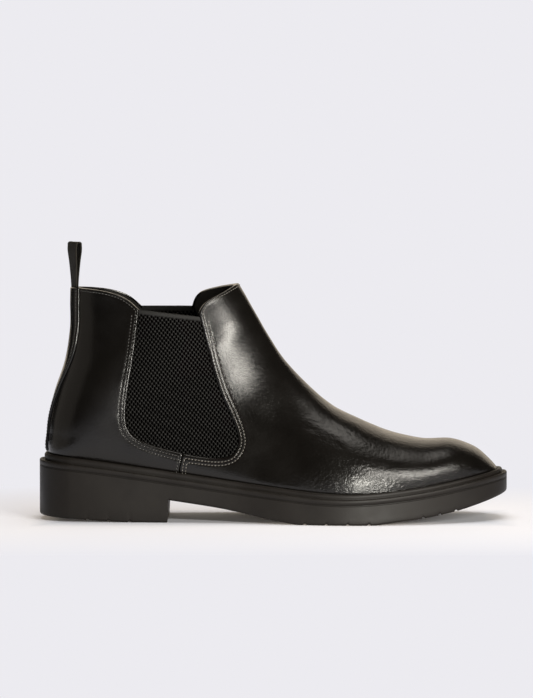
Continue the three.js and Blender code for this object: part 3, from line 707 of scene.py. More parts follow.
vamp_line = {side: vamp_outline(side) for side in (-1, 1)}
quarter_line = {side: quarter_outline(side) for side in (-1, 1)}
vamp_edge = {}
for edge_side in (-1, 1):
    front_part = window_parts(edge_side)[0]
    vamp_edge[edge_side] = np.vstack([front_part, [(SEAM_X, front_part[-1][1]), (SEAM_X, 0)]])
vamp_field = either(vamp_line, outline_distance)
window_distance = either(window)
vamp_edge_distance = either(vamp_edge)
front_distance = either(collar_front)
back_distance = either({-1: collar_back, 1: collar_back})


def rounded(distance, radius):
    """Depth of a rounded edge at a distance in from it."""
    t = np.clip(radius - distance, 0, radius)
    return radius - np.sqrt(radius * radius - t * t)


def channel(distance, row):
    """Depth that a row of stitches draws the leather in."""
    return 0.14 * np.exp(-((distance - row) / 0.36) ** 2)


CREASES = [  # across the vamp where it bends: side, start, middle and end as (x, z), depth, width
    (-1, (17, 61), (30, 58), (43, 50), 0.22, 1.3),
    (-1, (22, 55), (34, 53), (48, 45), 0.26, 1.5),
    (-1, (27, 50), (38, 48), (50, 41), 0.16, 1.3),
    (-1, (32, 63), (42, 58), (56, 53), 0.16, 1.6),
    (-1, (40, 66), (41, 62), (42, 57), 0.10, 0.8),
    (-1, (2, 63), (8, 55), (19, 49), 0.12, 2.2),
    (-1, (62, 47), (74, 46), (86, 41), 0.12, 2.2),
    (1, (18, 60), (31, 57), (45, 49), 0.22, 1.4),
    (1, (24, 53), (36, 51), (50, 44), 0.22, 1.5),
    (1, (34, 62), (44, 58), (58, 52), 0.15, 1.7),
]


def relief(at, points):
    """How the lasted leather undulates, in millimetres of depth."""
    lumps = np.array([
        noise.noise(Vector(p) / 24) * 0.26 + noise.noise(Vector(p) / 9 + Vector((7, 3, 1))) * 0.09
        for p in points])
    forepart = smoothstep((points[:, 0] + 45) / 50)
    folds = np.array([noise.noise(Vector((p[0] / 9, p[1] / 16, (p[2] + 0.35 * p[0]) / 3.2))) for p in points])
    height = above_rim(points)
    bend = np.exp(-((points[:, 0] - 42) / 30) ** 2) * smoothstep((height - 12) / 12)
    depth = lumps * (0.25 + 0.75 * forepart) + folds * 0.11 * bend
    for side, first, middle, last, deep, wide in CREASES:
        t = np.linspace(0, 1, 16)[:, None]
        line = (1 - t) ** 2 * np.array(first) + 2 * t * (1 - t) * np.array(middle) + t ** 2 * np.array(last)
        near = np.where(at[:, 1] * side > 0)[0]
        here = points[near][:, [0, 2]]
        d = line_distance(here, line)
        ends = np.minimum(np.linalg.norm(here - line[0], axis=1), np.linalg.norm(here - line[-1], axis=1))
        fold = np.exp(-(d / wide) ** 2) - 0.4 * np.exp(-((d - 2 * wide) / wide) ** 2)
        depth[near] += deep * smoothstep(ends / 8) * fold
    return depth


def leather_panel(name, net, field, edge_distance, collar_distance, node):
    """A leather piece with rounded edges, stitch channels and a turned-in collar. Returns its stitch rows."""
    net.split(field, drop=True)
    net.split(low_edge(2.0), drop=True)
    for level in EDGE_LINES:
        net.split(field, level)
    rows = [net.bands(field, ROWS[0]), net.bands(edge_distance, ROWS[1])]
    points = net.place(net.at)
    to_edge = net.value(field)
    to_collar = net.value(collar_distance)
    to_seam = net.value(edge_distance)
    turned = 1 - smoothstep((to_collar - 0.6) / 4)
    outside = rounded(to_edge, EDGE_RADIUS) + rounded(to_collar, 1.2) * 0.6
    outside += relief(net.at, points) * smoothstep(to_edge / 6)
    outside += channel(to_edge, ROWS[0])
    outside += channel(to_seam, ROWS[1]) * smoothstep((to_collar - 3.5) / 2)
    inside = LEATHER + (LINING[0] - 0.1 - LEATHER) * turned
    inside = np.maximum(inside, outside + 0.5)
    piece = shell(name, net, outside, inside, leather, "leather")
    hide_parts(node)
    found = []
    for row, line in enumerate(rows):
        for chain in chains(line):
            chain = np.array(chain)
            keep = above_rim(points[chain]) > 2.5
            if row == 1:
                keep &= to_collar[chain] > 4.2
            runs = np.split(np.arange(len(chain)), np.where(np.diff(keep.astype(int)) != 0)[0] + 1)
            for run in runs:
                if keep[run[0]] and len(run) > 5:
                    found.append((net.at[chain[run]], outside[chain[run]]))
    return found


def stitches(name, rows, material):
    """Rows of thread on the leather, each stitch a small bent rod."""
    angles = [2 * math.pi * n / 6 for n in range(6)]
    along = np.array([-1, -0.72, 0, 0.72, 1]) * STITCH_PITCH * STITCH_HALF
    thick = np.array([0.35, 0.85, 1, 0.85, 0.35]) * THREAD
    rise = np.array([-0.22, 0.02, 0.12, 0.02, -0.22])
    points, faces = [], []
    for at, depth in rows:
        place = surface(at[:, 0], at[:, 1], depth)
        way = normals(at[:, 0], at[:, 1])
        path = even(np.hstack([place, way]), STITCH_PITCH / 4)
        for _ in range(3):
            path[1:-1] = (path[:-2] + 2 * path[1:-1] + path[2:]) / 4
        for k in range(2, len(path) - 2, 4):
            centre, up = path[k, :3], path[k, 3:]
            forward = path[min(k + 2, len(path) - 1), :3] - path[k - 2, :3]
            forward /= np.linalg.norm(forward)
            up = up / np.linalg.norm(up)
            across = np.cross(up, forward)
            rings = []
            for a, r, h in zip(along, thick, rise):
                rings.append([centre + forward * a + across * r * math.cos(angle)
                              + up * (h + r * math.sin(angle)) for angle in angles])
            rod, rod_faces = loft(rings)
            faces += [tuple(len(points) + k for k in face) for face in rod_faces]
            points.extend(rod)
    make(name, points, faces, material, "leather", sharp=None)


def round_steps(low, high):
    return np.linspace(low, high, int(round(abs(high - low) * QUARTER_STEPS)) + 1)


def build_leather():
    vamp = Net(even_stations(0.004, LAST, SPACING), round_steps(-2, 2), leather_place)
    rows = leather_panel("vamp_leather", vamp, vamp_field, vamp_edge_distance, front_distance, "vamp")
    # The vamp's rows take the lighter thread: a painted highlight.
    stitches("vamp_stitches", rows, thread)
    for side, name in SIDES:
        net = Net(even_stations(6.0, LAST, SPACING), round_steps(side - 1, side + 1), leather_place)
        rows = leather_panel(f"quarter_leather_{name}", net, quarter_field(side), window_distance,
                             back_distance, f"quarter_{name}")
        stitches(f"quarter_stitches_{name}", rows, dark_thread)


def thin_layer(name, node, depths, field, material, slot, us, ss, trim=0.0):
    """A plain inner layer, cut `trim` short of its pattern."""
    net = Net(us, ss, lambda at, depth=depths[0]: surface(at[:, 0], at[:, 1], depth))
    net.split(field, trim, drop=True)
    net.split(low_edge(0.5), drop=True)
    piece = shell(name, net, depths[0], depths[1], material, slot)
    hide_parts(node)


LAYER_SPACING = 3.2
LINING_TRIM = 1.0  # short of the leather's edges
PAD_TRIM = 3.0
PAD_CLEAR = 7.3  # of the padding from the window in the leather
PAD_NOSE_X = 100
PUFF_X = 101  # rear edge of the toe puff
GRIP_X = -112  # where the heel grip and the quarter linings meet
GRIP_GAP = 0.12
COUNTER_TOP = np.array([(-124, 57), (-113, 52), (-107, 40), (-104, 18), (-95, 8.5), (-76, 7), (-64, 2)])
whole_quarter = either(quarter_line, outline_distance, 2)


def grip_side(inner, turn):
    """The part of a pattern in front of the heel grip's edge (turn 1) or behind it (turn -1)."""
    def field(at, points):
        return np.minimum(inner(at, points), turn * (points[:, 0] - GRIP_X) + LINING_TRIM - GRIP_GAP)
    return field


def above_counter(points):
    return above_rim(points) - np.interp(points[:, 0], COUNTER_TOP[:, 0], COUNTER_TOP[:, 1])


def counter_field(at, points):
    return np.minimum(-above_counter(points), COUNTER_TOP[-1][0] - points[:, 0])


def puff_field(at, points):
    return points[:, 0] - PUFF_X


def vamp_pad(at, points):
    clear = -either(window, outline_distance)(at, points) - PAD_CLEAR
    return np.minimum(np.minimum(vamp_field(at, points), clear), PAD_NOSE_X - points[:, 0])


def collar_pad(at, points):
    clear = -either(window, outline_distance, 2)(at, points) - PAD_CLEAR
    return np.minimum(np.minimum(whole_quarter(at, points), clear), above_counter(points))


def build_layers():
    steps = np.linspace(-2, 2, 97)
    front = (even_stations(0.3, LAST, LAYER_SPACING), steps)
    rear = (even_stations(6.0, LAST, LAYER_SPACING), steps + 2)
    cloth = (lining, "textile")
    soft = (foam, "foam")
    stiff = (stiffener, "stiffener")
    thin_layer("vamp_lining_cloth", "vamp_lining", LINING, vamp_field, *cloth, *front, LINING_TRIM)
    for side, name in SIDES:
        around = steps[steps * side >= 0]
        thin_layer(f"quarter_lining_cloth_{name}", f"quarter_lining_{name}", LINING,
                   grip_side(quarter_field(side), 1), *cloth, rear[0], around, LINING_TRIM)
    thin_layer("heel_grip_suede", "heel_grip", LINING, grip_side(whole_quarter, -1), suede, "suede",
               *rear, LINING_TRIM)
    thin_layer("vamp_padding", "vamp_interlining", MIDDLE, vamp_pad, *soft, *front, PAD_TRIM)
    thin_layer("heel_counter_shell", "heel_counter", MIDDLE, counter_field, *stiff, *rear)
    thin_layer("toe_puff_shell", "toe_puff", MIDDLE, puff_field, *stiff, *front)
    thin_layer("collar_padding", "collar_pad", MIDDLE, collar_pad, *soft, *rear, PAD_TRIM)


# ---- the elastic

GORE_PITCH = 0.5
GORE_HIDDEN = 5.0  # of the elastic, behind the leather
GORE_BAND = 3.2  # plain edge along the top


def flank(side):
    """Finds the last's (u, s) for an (x, z) seen from one side, and the point there at a depth."""
    us = np.linspace(5, LAST, 90)
    ss = side * np.linspace(0.1, 1.9, 60)
    at = np.stack(np.meshgrid(us, ss, indexing="ij"), 2).reshape(-1, 2)
    p = surface(at[:, 0], at[:, 1], MIDDLE[0])
    tree = kdtree.KDTree(len(p))
    for k, (x, z) in enumerate(p[:, [0, 2]].tolist()):
        tree.insert((x, z, 0), k)
    tree.balance()
    known = {}
    step = 0.01

    def solve(xz):
        key = xz.tobytes()
        if key in known:
            return known[key]
        near = np.array([at[tree.find((x, z, 0))[1]] for x, z in xz.tolist()])
        for _ in range(6):
            here, along, around = (surface(near[:, 0] + more_u, near[:, 1] + more_s, MIDDLE[0])[:, [0, 2]]
                                   for more_u, more_s in ((0, 0), (step, 0), (0, step)))
            du = (along - here) / step
            ds = (around - here) / step
            det = du[:, 0] * ds[:, 1] - du[:, 1] * ds[:, 0]
            det = np.where(np.abs(det) < 1e-6, 1e-6, det)
            miss = xz - here
            step_u = (miss[:, 0] * ds[:, 1] - miss[:, 1] * ds[:, 0]) / det
            step_s = (du[:, 0] * miss[:, 1] - du[:, 1] * miss[:, 0]) / det
            near = near + np.clip(np.stack([step_u, step_s], 1), -0.3, 0.3)
            near[:, 0] = np.clip(near[:, 0], 4, LAST)
        known[key] = near
        return near

    def place(at, depth=MIDDLE[0]):
        near = solve(np.ascontiguousarray(at))
        return surface(near[:, 0], near[:, 1], depth)

    return place


def lattice(x, z):
    """1 in the middle of a hole of the weave, 0 on its threads."""
    best = np.full(len(x), 9.0)
    for shift in (0, 0.5):
        dx = (x / HOLE_STEP[0] + shift) % 1 - 0.5
        dz = (z / HOLE_STEP[1] + shift) % 1 - 0.5
        far = np.hypot(dx * HOLE_STEP[0] / HOLE_SIZE[0], dz * HOLE_STEP[1] / HOLE_SIZE[1])
        best = np.minimum(best, far)
    return 1 - smoothstep((best - 0.55) / 0.55)


def build_gore(side, name):
    outline = window[side]
    low, high = outline.min(0) - GORE_HIDDEN - 1, outline.max(0) + 2
    columns = np.arange(low[0], high[0] + GORE_HIDDEN, GORE_PITCH)
    net = Net(columns, np.arange(low[1], high[1], GORE_PITCH), flank(side))
    top_a, top_b = outline[-1], outline[0]

    def from_top(at, points=None):
        slope = (top_b[1] - top_a[1]) / (top_b[0] - top_a[0])
        return top_a[1] + slope * (at[:, 0] - top_a[0]) - at[:, 1]

    def grown(at, points=None):
        return np.minimum(outline_distance(at, outline) + GORE_HIDDEN, from_top(at))

    net.split(grown, drop=True)
    net.split(grown, 0.5)
    at = net.at
    top = from_top(at)
    shown = outline_distance(at, outline)
    woven = smoothstep((top - GORE_BAND + 0.6) / 0.8)
    weave_x, weave_z = at[:, 0] + 0.10 * (at[:, 1] - 90), at[:, 1] - 0.12 * at[:, 0]
    hole = lattice(weave_x, weave_z) * woven
    swell = smoothstep(shown / 9) * 0.35
    outside = MIDDLE[0] - 0.15 - swell + hole * 0.55 + rounded(top, EDGE_RADIUS) - 0.15 * (1 - woven)
    inside = MIDDLE[1] - hole * 0.3 - rounded(top, 0.5) * 0.5
    marks = {"weave_x": weave_x / HOLE_STEP[0], "weave_z": weave_z / HOLE_STEP[1], "woven": woven}
    piece = shell(f"gore_elastic_{name}", net, outside, inside, elastic, "elastic", marks)
    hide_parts(f"gore_{name}")


# ---- the sole

def contour(height, side, count=240, depth=0.0):
    """The last's outline at a height above the rim, from the toe to the heel, as [x, y]."""
    ends = np.linspace(11, 15, 400)
    _, back, _ = station(ends)
    rise = back[:, 1] - seat(back[:, 0])
    end = np.interp(height, rise[rise.argmin():], ends[rise.argmin():])
    u = end * (1 - np.cos(np.linspace(0.02, math.pi, count))) / 2
    low, high = np.zeros(count), np.full(count, 2.0)
    for _ in range(40):
        middle = (low + high) / 2
        p = surface(u, side * middle, depth)
        over = above_rim(p) > height
        low, high = np.where(over, middle, low), np.where(over, high, middle)
    return surface(u, side * low, depth)[:, :2]


RIM_STEPS = 1000
feather = {side: contour(FEATHER, side) for side in (-1, 1)}
above_feather = {side: contour(FEATHER + 1.6, side) for side in (-1, 1)}


def rim_path():
    """The feather line round the whole boot: points, outward normals and how far the upper leans over it."""
    loops = []
    for side in (1, -1):
        p = feather[side].copy()
        lean = above_feather[side] - p
        p[0] = (STATIONS[0][0], STATIONS[0][9])
        p[-1, 1] = 0
        loops.append((p, lean))
    p = np.vstack([loops[0][0], loops[1][0][1:-1][::-1]])
    lean = np.vstack([loops[0][1], loops[1][1][1:-1][::-1]])
    run = np.roll(p, -1, 0) - np.roll(p, 1, 0)
    run /= np.linalg.norm(run, axis=1)[:, None]
    n = np.stack([run[:, 1], -run[:, 0]], 1)
    if (n[0] * (1, 0)).sum() < 0:
        n = -n
    full = np.hstack([p, n, (lean * n).sum(1)[:, None]])
    full = np.vstack([full, full[:1]])
    length = np.concatenate([[0], np.cumsum(np.linalg.norm(np.diff(full[:, :2], axis=0), axis=1))])
    want = np.linspace(0, length[-1], RIM_STEPS + 1)[:-1]
    out = np.stack([np.interp(want, length, full[:, k]) for k in range(5)], 1)
    for _ in range(6):
        out[:, 2:] = (np.roll(out[:, 2:], 1, 0) + 2 * out[:, 2:] + np.roll(out[:, 2:], -1, 0)) / 4
    out[:, 2:4] /= np.linalg.norm(out[:, 2:4], axis=1)[:, None]
    return out


rim = rim_path()


def ring(reach, height, above=seat):
    """The rim path moved out by reach, at a height above the rim or above another line."""
    xy = rim[:, :2] + rim[:, 2:4] * np.broadcast_to(reach, len(rim))[:, None]
    return np.column_stack([xy, above(xy[:, 0]) + height])


def bead_height():
    x = rim[:, 0]
    return BEAD_HEIGHTS[0] + (BEAD_HEIGHTS[1] - BEAD_HEIGHTS[0]) * (x + 145) / 290


def build_welt():
    lean = rim[:, 4] * 0.9
    top = bead_height()
    crest = np.maximum((BEAD_REACH + lean) / 2 + 0.25, 1.3)
    edge = [(-0.3, -WELT_THICKNESS), (0, -WELT_THICKNESS + 0.15), (0, -0.9), (-0.1, -0.45),
            (-0.4, -0.12), (-0.9, 0)]
    groove = [(1.5, 0), (1.1, -0.25), (0.75, -1.1), (-0.1, -1.1), (-0.25, -0.2)]
    bead = [(-0.1, 0.25), (0, 0.5), (-0.12, 0.72), (-0.5, 0.9)]
    rings = [ring(WELT_REACH + reach, height) for reach, height in edge]
    rings += [ring(BEAD_REACH + reach, height) for reach, height in groove]
    rings += [ring(BEAD_REACH + reach, top * share) for reach, share in bead]
    rings += [ring(crest, top), ring(np.maximum(lean + 0.5, 0.3), top * 0.93),
              ring(np.maximum(lean, -0.4), top * 0.7), ring(np.maximum(lean - 1.2, -1.5), top * 0.35),
              ring(-3.0, -1.0), ring(-3.0, -WELT_THICKNESS)]
    points, faces = loft([*rings, rings[0]], caps=False)
    piece = make("welt_with_bead", points, faces, rubber, "rubber", sharp=None, lean=False)
    tidy(piece)
    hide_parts("welt")


HEEL_FRONT = -66
TREAD_REAR = [(-153, 3.3), (-143, 2.7), (-94, 0), (-66, 0)]
TREAD_WAIST = [(-66, 14.4), (-34, 9.65), (-13, 5.47), (1, 2.45), (16, 0)]
TREAD_FRONT = [(66, 0), (80, 1.8), (97, 3.96), (118, 7.74), (136, 12.6), (153, 18)]
GROOVES = [-117, -103.5, -90, 21, 34.5, 48, 61.5, 96, 106.5, 117]
GROOVE = (1.8, 0.9)  # width and depth


def tread(x):
    """Height of the sole's underside above the floor."""
    x = np.asarray(x, float)
    rear = np.interp(x, [p[0] for p in TREAD_REAR], [p[1] for p in TREAD_REAR])
    waist = smooth_line(TREAD_WAIST)
    front = smooth_line(TREAD_FRONT)
    z = np.where(x < HEEL_FRONT, rear, np.interp(x, waist[:, 0], waist[:, 1]))
    z = np.where(x > TREAD_FRONT[0][0], np.interp(x, front[:, 0], front[:, 1]), z)
    for g in GROOVES:
        z = z + GROOVE[1] * (1 - smoothstep((np.abs(x - g) - GROOVE[0] / 2 + 0.15) / 0.3))
    return z


def build_outsole():
    top = -WELT_THICKNESS - 0.02
    bottom = 1.6

    def wall(reach, share):
        """A ring on the side wall, at a share of the way from the underside to the top."""
        xy = rim[:, :2] + rim[:, 2:4] * reach
        low, high = tread(xy[:, 0]), seat(xy[:, 0]) + top
        return np.column_stack([xy, low + (high - low) * share])

    line = top - 0.7
    rim_edge = [(-0.3, top), (0, top - 0.15), (0, line + 0.2), (-0.3, line + 0.05), (-0.3, line - 0.05),
                (0, line - 0.25)]
    rings = [ring(-2.0, top)] + [ring(WELT_REACH + reach, height) for reach, height in rim_edge]
    rings += [wall(WELT_REACH, share) for share in (0.85, 0.65, 0.45, 0.28)]
    rings += [ring(WELT_REACH, bottom, tread), ring(WELT_REACH - 0.12, bottom * 0.5, tread),
              ring(WELT_REACH - 0.5, 0.3, tread), ring(WELT_REACH - 1.2, 0, tread)]
    points, faces = loft(rings, caps=False)
    count = len(rim)
    last_ring = (len(rings) - 1) * count
    edge = rings[-1][:, :2]
    corners = [Vector(p) for p in edge.tolist()]
    edges = [(k, (k + 1) % count) for k in range(count)]
    half = GROOVE[0] / 2
    lines = [g + offset for g in GROOVES
             for offset in (-half - 0.15, -half + 0.15, half - 0.15, half + 0.15)]
    lines += [HEEL_FRONT - 0.3, HEEL_FRONT + 0.3]
    lines += [x for x in np.arange(-146, 146, 4.0) if min(abs(x - g) for g in GROOVES) > 2.4]
    for x in sorted(lines):
        crossed = []
        for a, b in zip(edge, np.roll(edge, -1, 0)):
            if (a[0] > x) != (b[0] > x):
                crossed.append(a[1] + (b[1] - a[1]) * (x - a[0]) / (b[0] - a[0]))
        if len(crossed) == 2 and abs(crossed[0] - crossed[1]) > 4:
            y0, y1 = min(crossed) + 0.5, max(crossed) - 0.5
            edges.append((len(corners), len(corners) + 1))
            corners += [Vector((x, y0)), Vector((x, y1))]
    flat = geometry.delaunay_2d_cdt(corners, edges, [], 1, 1e-5)
    xy = np.array([tuple(v) for v in flat[0]])
    new = []
    added = []
    for (x, y), origins in zip(xy, flat[3]):
        if origins and min(origins) < count:
            new.append(last_ring + min(origins))
        else:
            new.append(len(points) + len(added))
            added.append((x, y, float(tread(x))))
    faces += [tuple(new[k] for k in face) for face in flat[2]]
    faces.append(tuple(range(count)))
    piece = make("outsole_rubber", np.vstack([points, added]), faces, rubber, "rubber", sharp=35, lean=False)
    tidy(piece, 0.001)
    piece.data.set_sharp_from_angle(angle=math.radians(35))
    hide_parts("outsole")


# ---- the strip over the back seam

STRIP = [(5, 0), (5, 0.25), (9.05, 0.38), (13.1, 0.58), (14, 0.75), (14, 1)]  # half width, share of height
STRIP_DEPTH = (-1.3, -0.15)
STRIP_ROW = 1.5  # stitch row, in from the strip's side


def build_backstay():
    foot = SEAT[0][1] + BEAD_HEIGHTS[0] + 0.3
    top = collar_back[-1][1]
    widths = smooth_line(STRIP)
    rise = foot + (top - foot) * widths[:, 1]

    def side_distance(at, points):
        return np.interp(points[:, 2], rise, widths[:, 0]) - np.abs(points[:, 1])

    def field(at, points):
        below_collar = outline_distance(points[:, [0, 2]], quarter_line[-1]) - 0.05
        return np.minimum(side_distance(at, points), np.minimum(points[:, 2] - foot, below_collar))

    net = Net(even_stations(11.5, LAST, 1.2, (2.0,)), np.linspace(1.4, 2.6, 66), leather_place)
    net.split(field, drop=True)
    for level in EDGE_LINES:
        net.split(field, level)
    seam = net.bands(side_distance, STRIP_ROW)
    to_edge = net.value(field)
    to_side = net.value(side_distance)
    outside = STRIP_DEPTH[0] + rounded(to_edge, EDGE_RADIUS) + channel(to_side, STRIP_ROW) * (to_edge > 0.8)
    piece = shell("backstay_leather", net, outside, STRIP_DEPTH[1], leather, "leather")
    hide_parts("backstay")
    points = net.place(net.at)
    rows = []
    for chain in chains(seam):
        chain = np.array(chain)
        chain = chain[(points[chain][:, 2] > foot + 1) & (points[chain][:, 2] < top - 1)]
        if len(chain) > 5:
            rows.append((net.at[chain], outside[chain]))
    stitches("backstay_stitches", rows, dark_thread)


# ---- the pull tab

TAB_X = -127.3
TAB_FOLD = 1.05
TAB_SPREAD = 4.4
TAB_SUNK = 5.0  # of the ribbon below the collar's edge
RIBBON_STEP = 0.6
RIBBON_COLUMNS = 15


def tab_path():
    """The ribbon's middle line from its rear end, over the top, to its front end, as [x, z] from the fold."""
    half = WEBBING / 2
    legs = [(TAB_FOLD - 0.1, -TAB_SUNK), (TAB_FOLD - 0.1, 0), (TAB_FOLD, TAB_HEIGHT * 0.2),
            (TAB_SPREAD / 2 - 0.55, TAB_HEIGHT * 0.55), (TAB_SPREAD / 2 + 0.15, TAB_HEIGHT * 0.8),
            (TAB_SPREAD / 2 - 0.05, TAB_HEIGHT - 1.9)]
    front = smooth_line(legs, 8) - (half, 0)
    corner = 1.5
    centre = (TAB_SPREAD / 2 - corner, TAB_HEIGHT - corner)
    turn = np.linspace(0, math.pi / 2, 6)[1:]
    arc = centre + (corner - half) * np.stack([np.cos(turn), np.sin(turn)], 1)
    side = np.vstack([front, arc])
    other = side[::-1] * (-1, 1)
    return np.vstack([side, other])[::-1]


def build_tab():
    path = even(tab_path(), RIBBON_STEP)
    run = np.gradient(path, axis=0)
    run /= np.linalg.norm(run, axis=1)[:, None]
    out = np.stack([-run[:, 1], run[:, 0]], 1)
    if out[0][0] > 0:
        out = -out
    foot = collar_back[-1][1] + 0.3
    across = np.linspace(-1, 1, RIBBON_COLUMNS) * TAB_WIDTH / 2
    columns = range(RIBBON_COLUMNS)
    edge = 1 - 0.55 * np.clip((np.abs(across) - TAB_WIDTH / 2 + 0.5) / 0.5, 0, 1)
    selvage = 1 + 0.25 * np.exp(-((np.abs(across) - TAB_WIDTH / 2 + 1.1) / 0.5) ** 2)
    thick = WEBBING / 2 * edge * selvage
    rings = []
    marks = {"across": [], "along": []}
    for k, (p, n) in enumerate(zip(path, out)):
        twist = math.radians(18 + 15 * np.clip(p[1] / TAB_HEIGHT, 0, 1))
        c, s = math.cos(twist), math.sin(twist)
        ring_points = []
        for sign, order in ((1, columns), (-1, reversed(columns))):
            for j in order:
                x = p[0] + sign * n[0] * thick[j]
                z = p[1] + sign * n[1] * thick[j]
                ring_points.append((TAB_X + x * c - across[j] * s, x * s + across[j] * c, foot + z))
                marks["across"].append(across[j])
                marks["along"].append(k * RIBBON_STEP)
        rings.append(np.array(ring_points))
    points, faces = loft(rings)
    piece = make("pull_tab_ribbon", points, faces, webbing, "webbing", body=None, sharp=60, marks=marks)
    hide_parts("pull_tab")
    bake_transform(piece)


# ---- the sock lining

SOCK_TOP = 7.4  # above the rim
SOCK = 0.8
SOCK_GRID = 5.0


def build_sock():
    """The cover of the footbed, which turns up a little along its edge."""
    loop = np.vstack([contour(SOCK_TOP, 1, 90, INSIDE), contour(SOCK_TOP, -1, 90, INSIDE)[1:-1][::-1]])
    edges = [(k, (k + 1) % len(loop)) for k in range(len(loop))]
    spots = np.array([(x, y) for x in np.arange(-130, 130, SOCK_GRID) for y in np.arange(-40, 41, SOCK_GRID)])
    spots = spots[outline_distance(spots, loop) > SOCK_GRID / 2]
    corners = [Vector(p) for p in loop.tolist() + spots.tolist()]
    flat = geometry.delaunay_2d_cdt(corners, edges, [], 1, 1e-4)
    xy = np.array([tuple(v) for v in flat[0]])
    inside = np.maximum(outline_distance(xy, loop), 0)
    dish = 1.1 * (1 - smoothstep(inside / 16))
    top = np.column_stack([xy, seat(xy[:, 0]) + SOCK_TOP + dish])
    low = top - (0, 0, SOCK)
    every = closed_skin([tuple(face) for face in flat[2]], len(xy))
    piece = make("sock_cloth", np.vstack([top, low]), every, lining, "textile", sharp=40)
    tidy(piece, 0.001)
    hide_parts("sock_lining")


# ---- the CAD nodes that stay

def dress_nodes():
    """Gives every CAD node the material of its slot."""
    slots = {row["node"]: row["material_slot"] for row in frame["record"]["subparts"]}
    for name, node in frame["nodes"].items():
        node.data.materials.clear()
        node.data.materials.append(BY_SLOT[slots[name]])


# ---- the studio

BACKDROP = (0.840, 0.831, 0.871)


def build_floor():
    """Evenly bright like the photo's backdrop, but takes shadows near the boot."""
    s = Shader("studio_floor")
    position = s.node("SeparateXYZ", Vector=s.coordinates)

    def past(axis, half, fade):
        """How far beyond `half` from the middle a place lies, in steps of `fade`."""
        return s.math("DIVIDE", s.math("SUBTRACT", s.math("ABSOLUTE", position.outputs[axis]), half), fade)

    squares = [s.math("POWER", s.math("MAXIMUM", past(*limit), 0.0), 2.0)
               for limit in ((0, 0.15, 0.10), (1, 0.06, 0.16))]
    away = s.math("SQRT", s.math("ADD", *squares))
    # Painted shade: the floor's warm glow drops to 0.12 over the boot's footprint and rises to full just past
    # it, so the floor darkens under and beside the sole. Where the lamps are shaded, this warm glow is what
    # is left: a painted warm tint in the shadows.
    clear = [past(0, 0.135, 0.02), past(1, 0.025, 0.03)]
    s.set(Base_Color=(0.59, 0.610, 0.672), Roughness=0.8, Specular_IOR_Level=0.1,
          Emission_Color=(0.29, 0.25, 0.21), Emission_Strength=s.spread(s.math("MAXIMUM", *clear), 0.12, 1.0))
    glow = s.node("Emission", Color=BACKDROP, Strength=1.0)
    both = s.node("MixShader")
    s.put(both.inputs[0], s.spread(away, 0.0, 1.0))
    s.put(both.inputs[1], s.surface.outputs[0])
    s.put(both.inputs[2], glow.outputs[0])
    s.put(s.tree.nodes["Material Output"].inputs[0], both.outputs[0])
    mesh = bpy.data.meshes.new("floor")
    mesh.from_pydata([(-0.8, -0.84, 0), (0.8, -0.84, 0), (0.8, 0.84, 0), (-0.8, 0.84, 0)], [], [(0, 1, 2, 3)])
    mesh.materials.append(s.material)
    floor = bpy.data.objects.new("floor", mesh)
    bpy.context.scene.collection.objects.link(floor)


def area_light(name, place, aim, size, power, colour=(1, 1, 1), along=(0, 0, 0)):
    """A soft box. Its first side lies along the given direction, or level."""
    data = bpy.data.lights.new(name, "AREA")
    data.shape = "RECTANGLE"
    data.size, data.size_y = size
    data.energy = power
    data.color = colour
    back = (Vector(place) - Vector(aim)).normalized()
    first = Vector(along) if any(along) else Vector((0, 0, 1)).cross(back)
    if first.length < 0.01:
        first = Vector((1, 0, 0))
    first = (first - back * first.dot(back)).normalized()
    second = back.cross(first)
    lamp = bpy.data.objects.new(name, data)
    lamp.matrix_world = Matrix.Translation(place) @ Matrix((first, second, back)).transposed().to_4x4()
    bpy.context.scene.collection.objects.link(lamp)
    return lamp


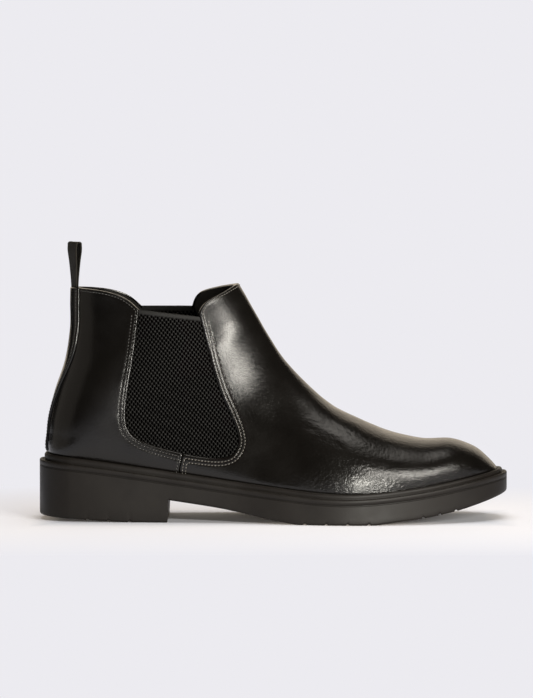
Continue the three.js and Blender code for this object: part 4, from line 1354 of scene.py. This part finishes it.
def build_studio():
    """A pale backdrop for the eye, a dark room for the light, and the lamps."""
    world = bpy.data.worlds.new("studio")
    bpy.context.scene.world = world
    world.use_nodes = True
    tree = world.node_tree
    tree.nodes.clear()
    seen, lit, path, mix, out = (tree.nodes.new("ShaderNode" + kind) for kind in (
        "Background", "Background", "LightPath", "MixShader", "OutputWorld"))
    seen.inputs[0].default_value = (*BACKDROP, 1)
    lit.inputs[0].default_value = (1.0, 0.985, 0.96, 1)
    lit.inputs[1].default_value = 0.012
    for source, socket in ((path.outputs["Is Camera Ray"], mix.inputs[0]), (lit.outputs[0], mix.inputs[1]),
                           (seen.outputs[0], mix.inputs[2]), (mix.outputs[0], out.inputs[0])):
        tree.links.new(source, socket)
    area_light("key", (0.92, -1.32, 0.55), (-0.03, 0, 0.1), (1.10, 0.17), 30, (1, 0.96, 0.88),
               (-0.64, -0.31, 0.33))
    low = area_light("low_front", (0.16, -0.62, 0.035), (0.06, -0.05, 0.025), (0.12, 0.045), 3.0,
                     (1, 0.97, 0.88))
    low.visible_camera = False
    area_light("top", (0.28, 0.05, 1.6), (0.05, 0, 0), (0.9, 0.6), 5.0, (1, 0.95, 0.88))
    area_light("rim_back", (0.1, 2.0, 0.8), (0, 0, 0.1), (3.2, 1.5), 15, (1, 0.87, 0.70))
    area_light("left", (-1.65, 0.05, 0.35), (0, 0, 0.08), (1.7, 1.3), 2.2, (1, 0.90, 0.78))
    fill = area_light("floor_fill", (0, 0, 2.2), (0, 0, 0), (1.6, 1.6), 27)
    fill.visible_glossy = False


def build_camera():
    """2.4 m in front of the boot's outer side and 245 mm above the floor, looking a little down."""
    place = Vector((-0.0045, -2.4, 0.245))
    aim = Vector((-0.0045, 0, 0.1087))
    data = bpy.data.cameras.new("camera")
    data.lens = 193.3
    data.sensor_width = 36
    camera = bpy.data.objects.new("camera", data)
    camera.location = place
    camera.rotation_euler = (aim - place).to_track_quat("-Z", "Y").to_euler()
    bpy.context.scene.collection.objects.link(camera)
    bpy.context.scene.camera = camera
    bpy.context.scene.view_settings.view_transform = "Standard"


dress_nodes()
build_leather()
build_layers()
for flank_side, flank_name in SIDES:
    build_gore(flank_side, flank_name)
build_welt()
build_outsole()
build_backstay()
build_tab()
build_sock()
build_floor()
build_studio()
build_camera()
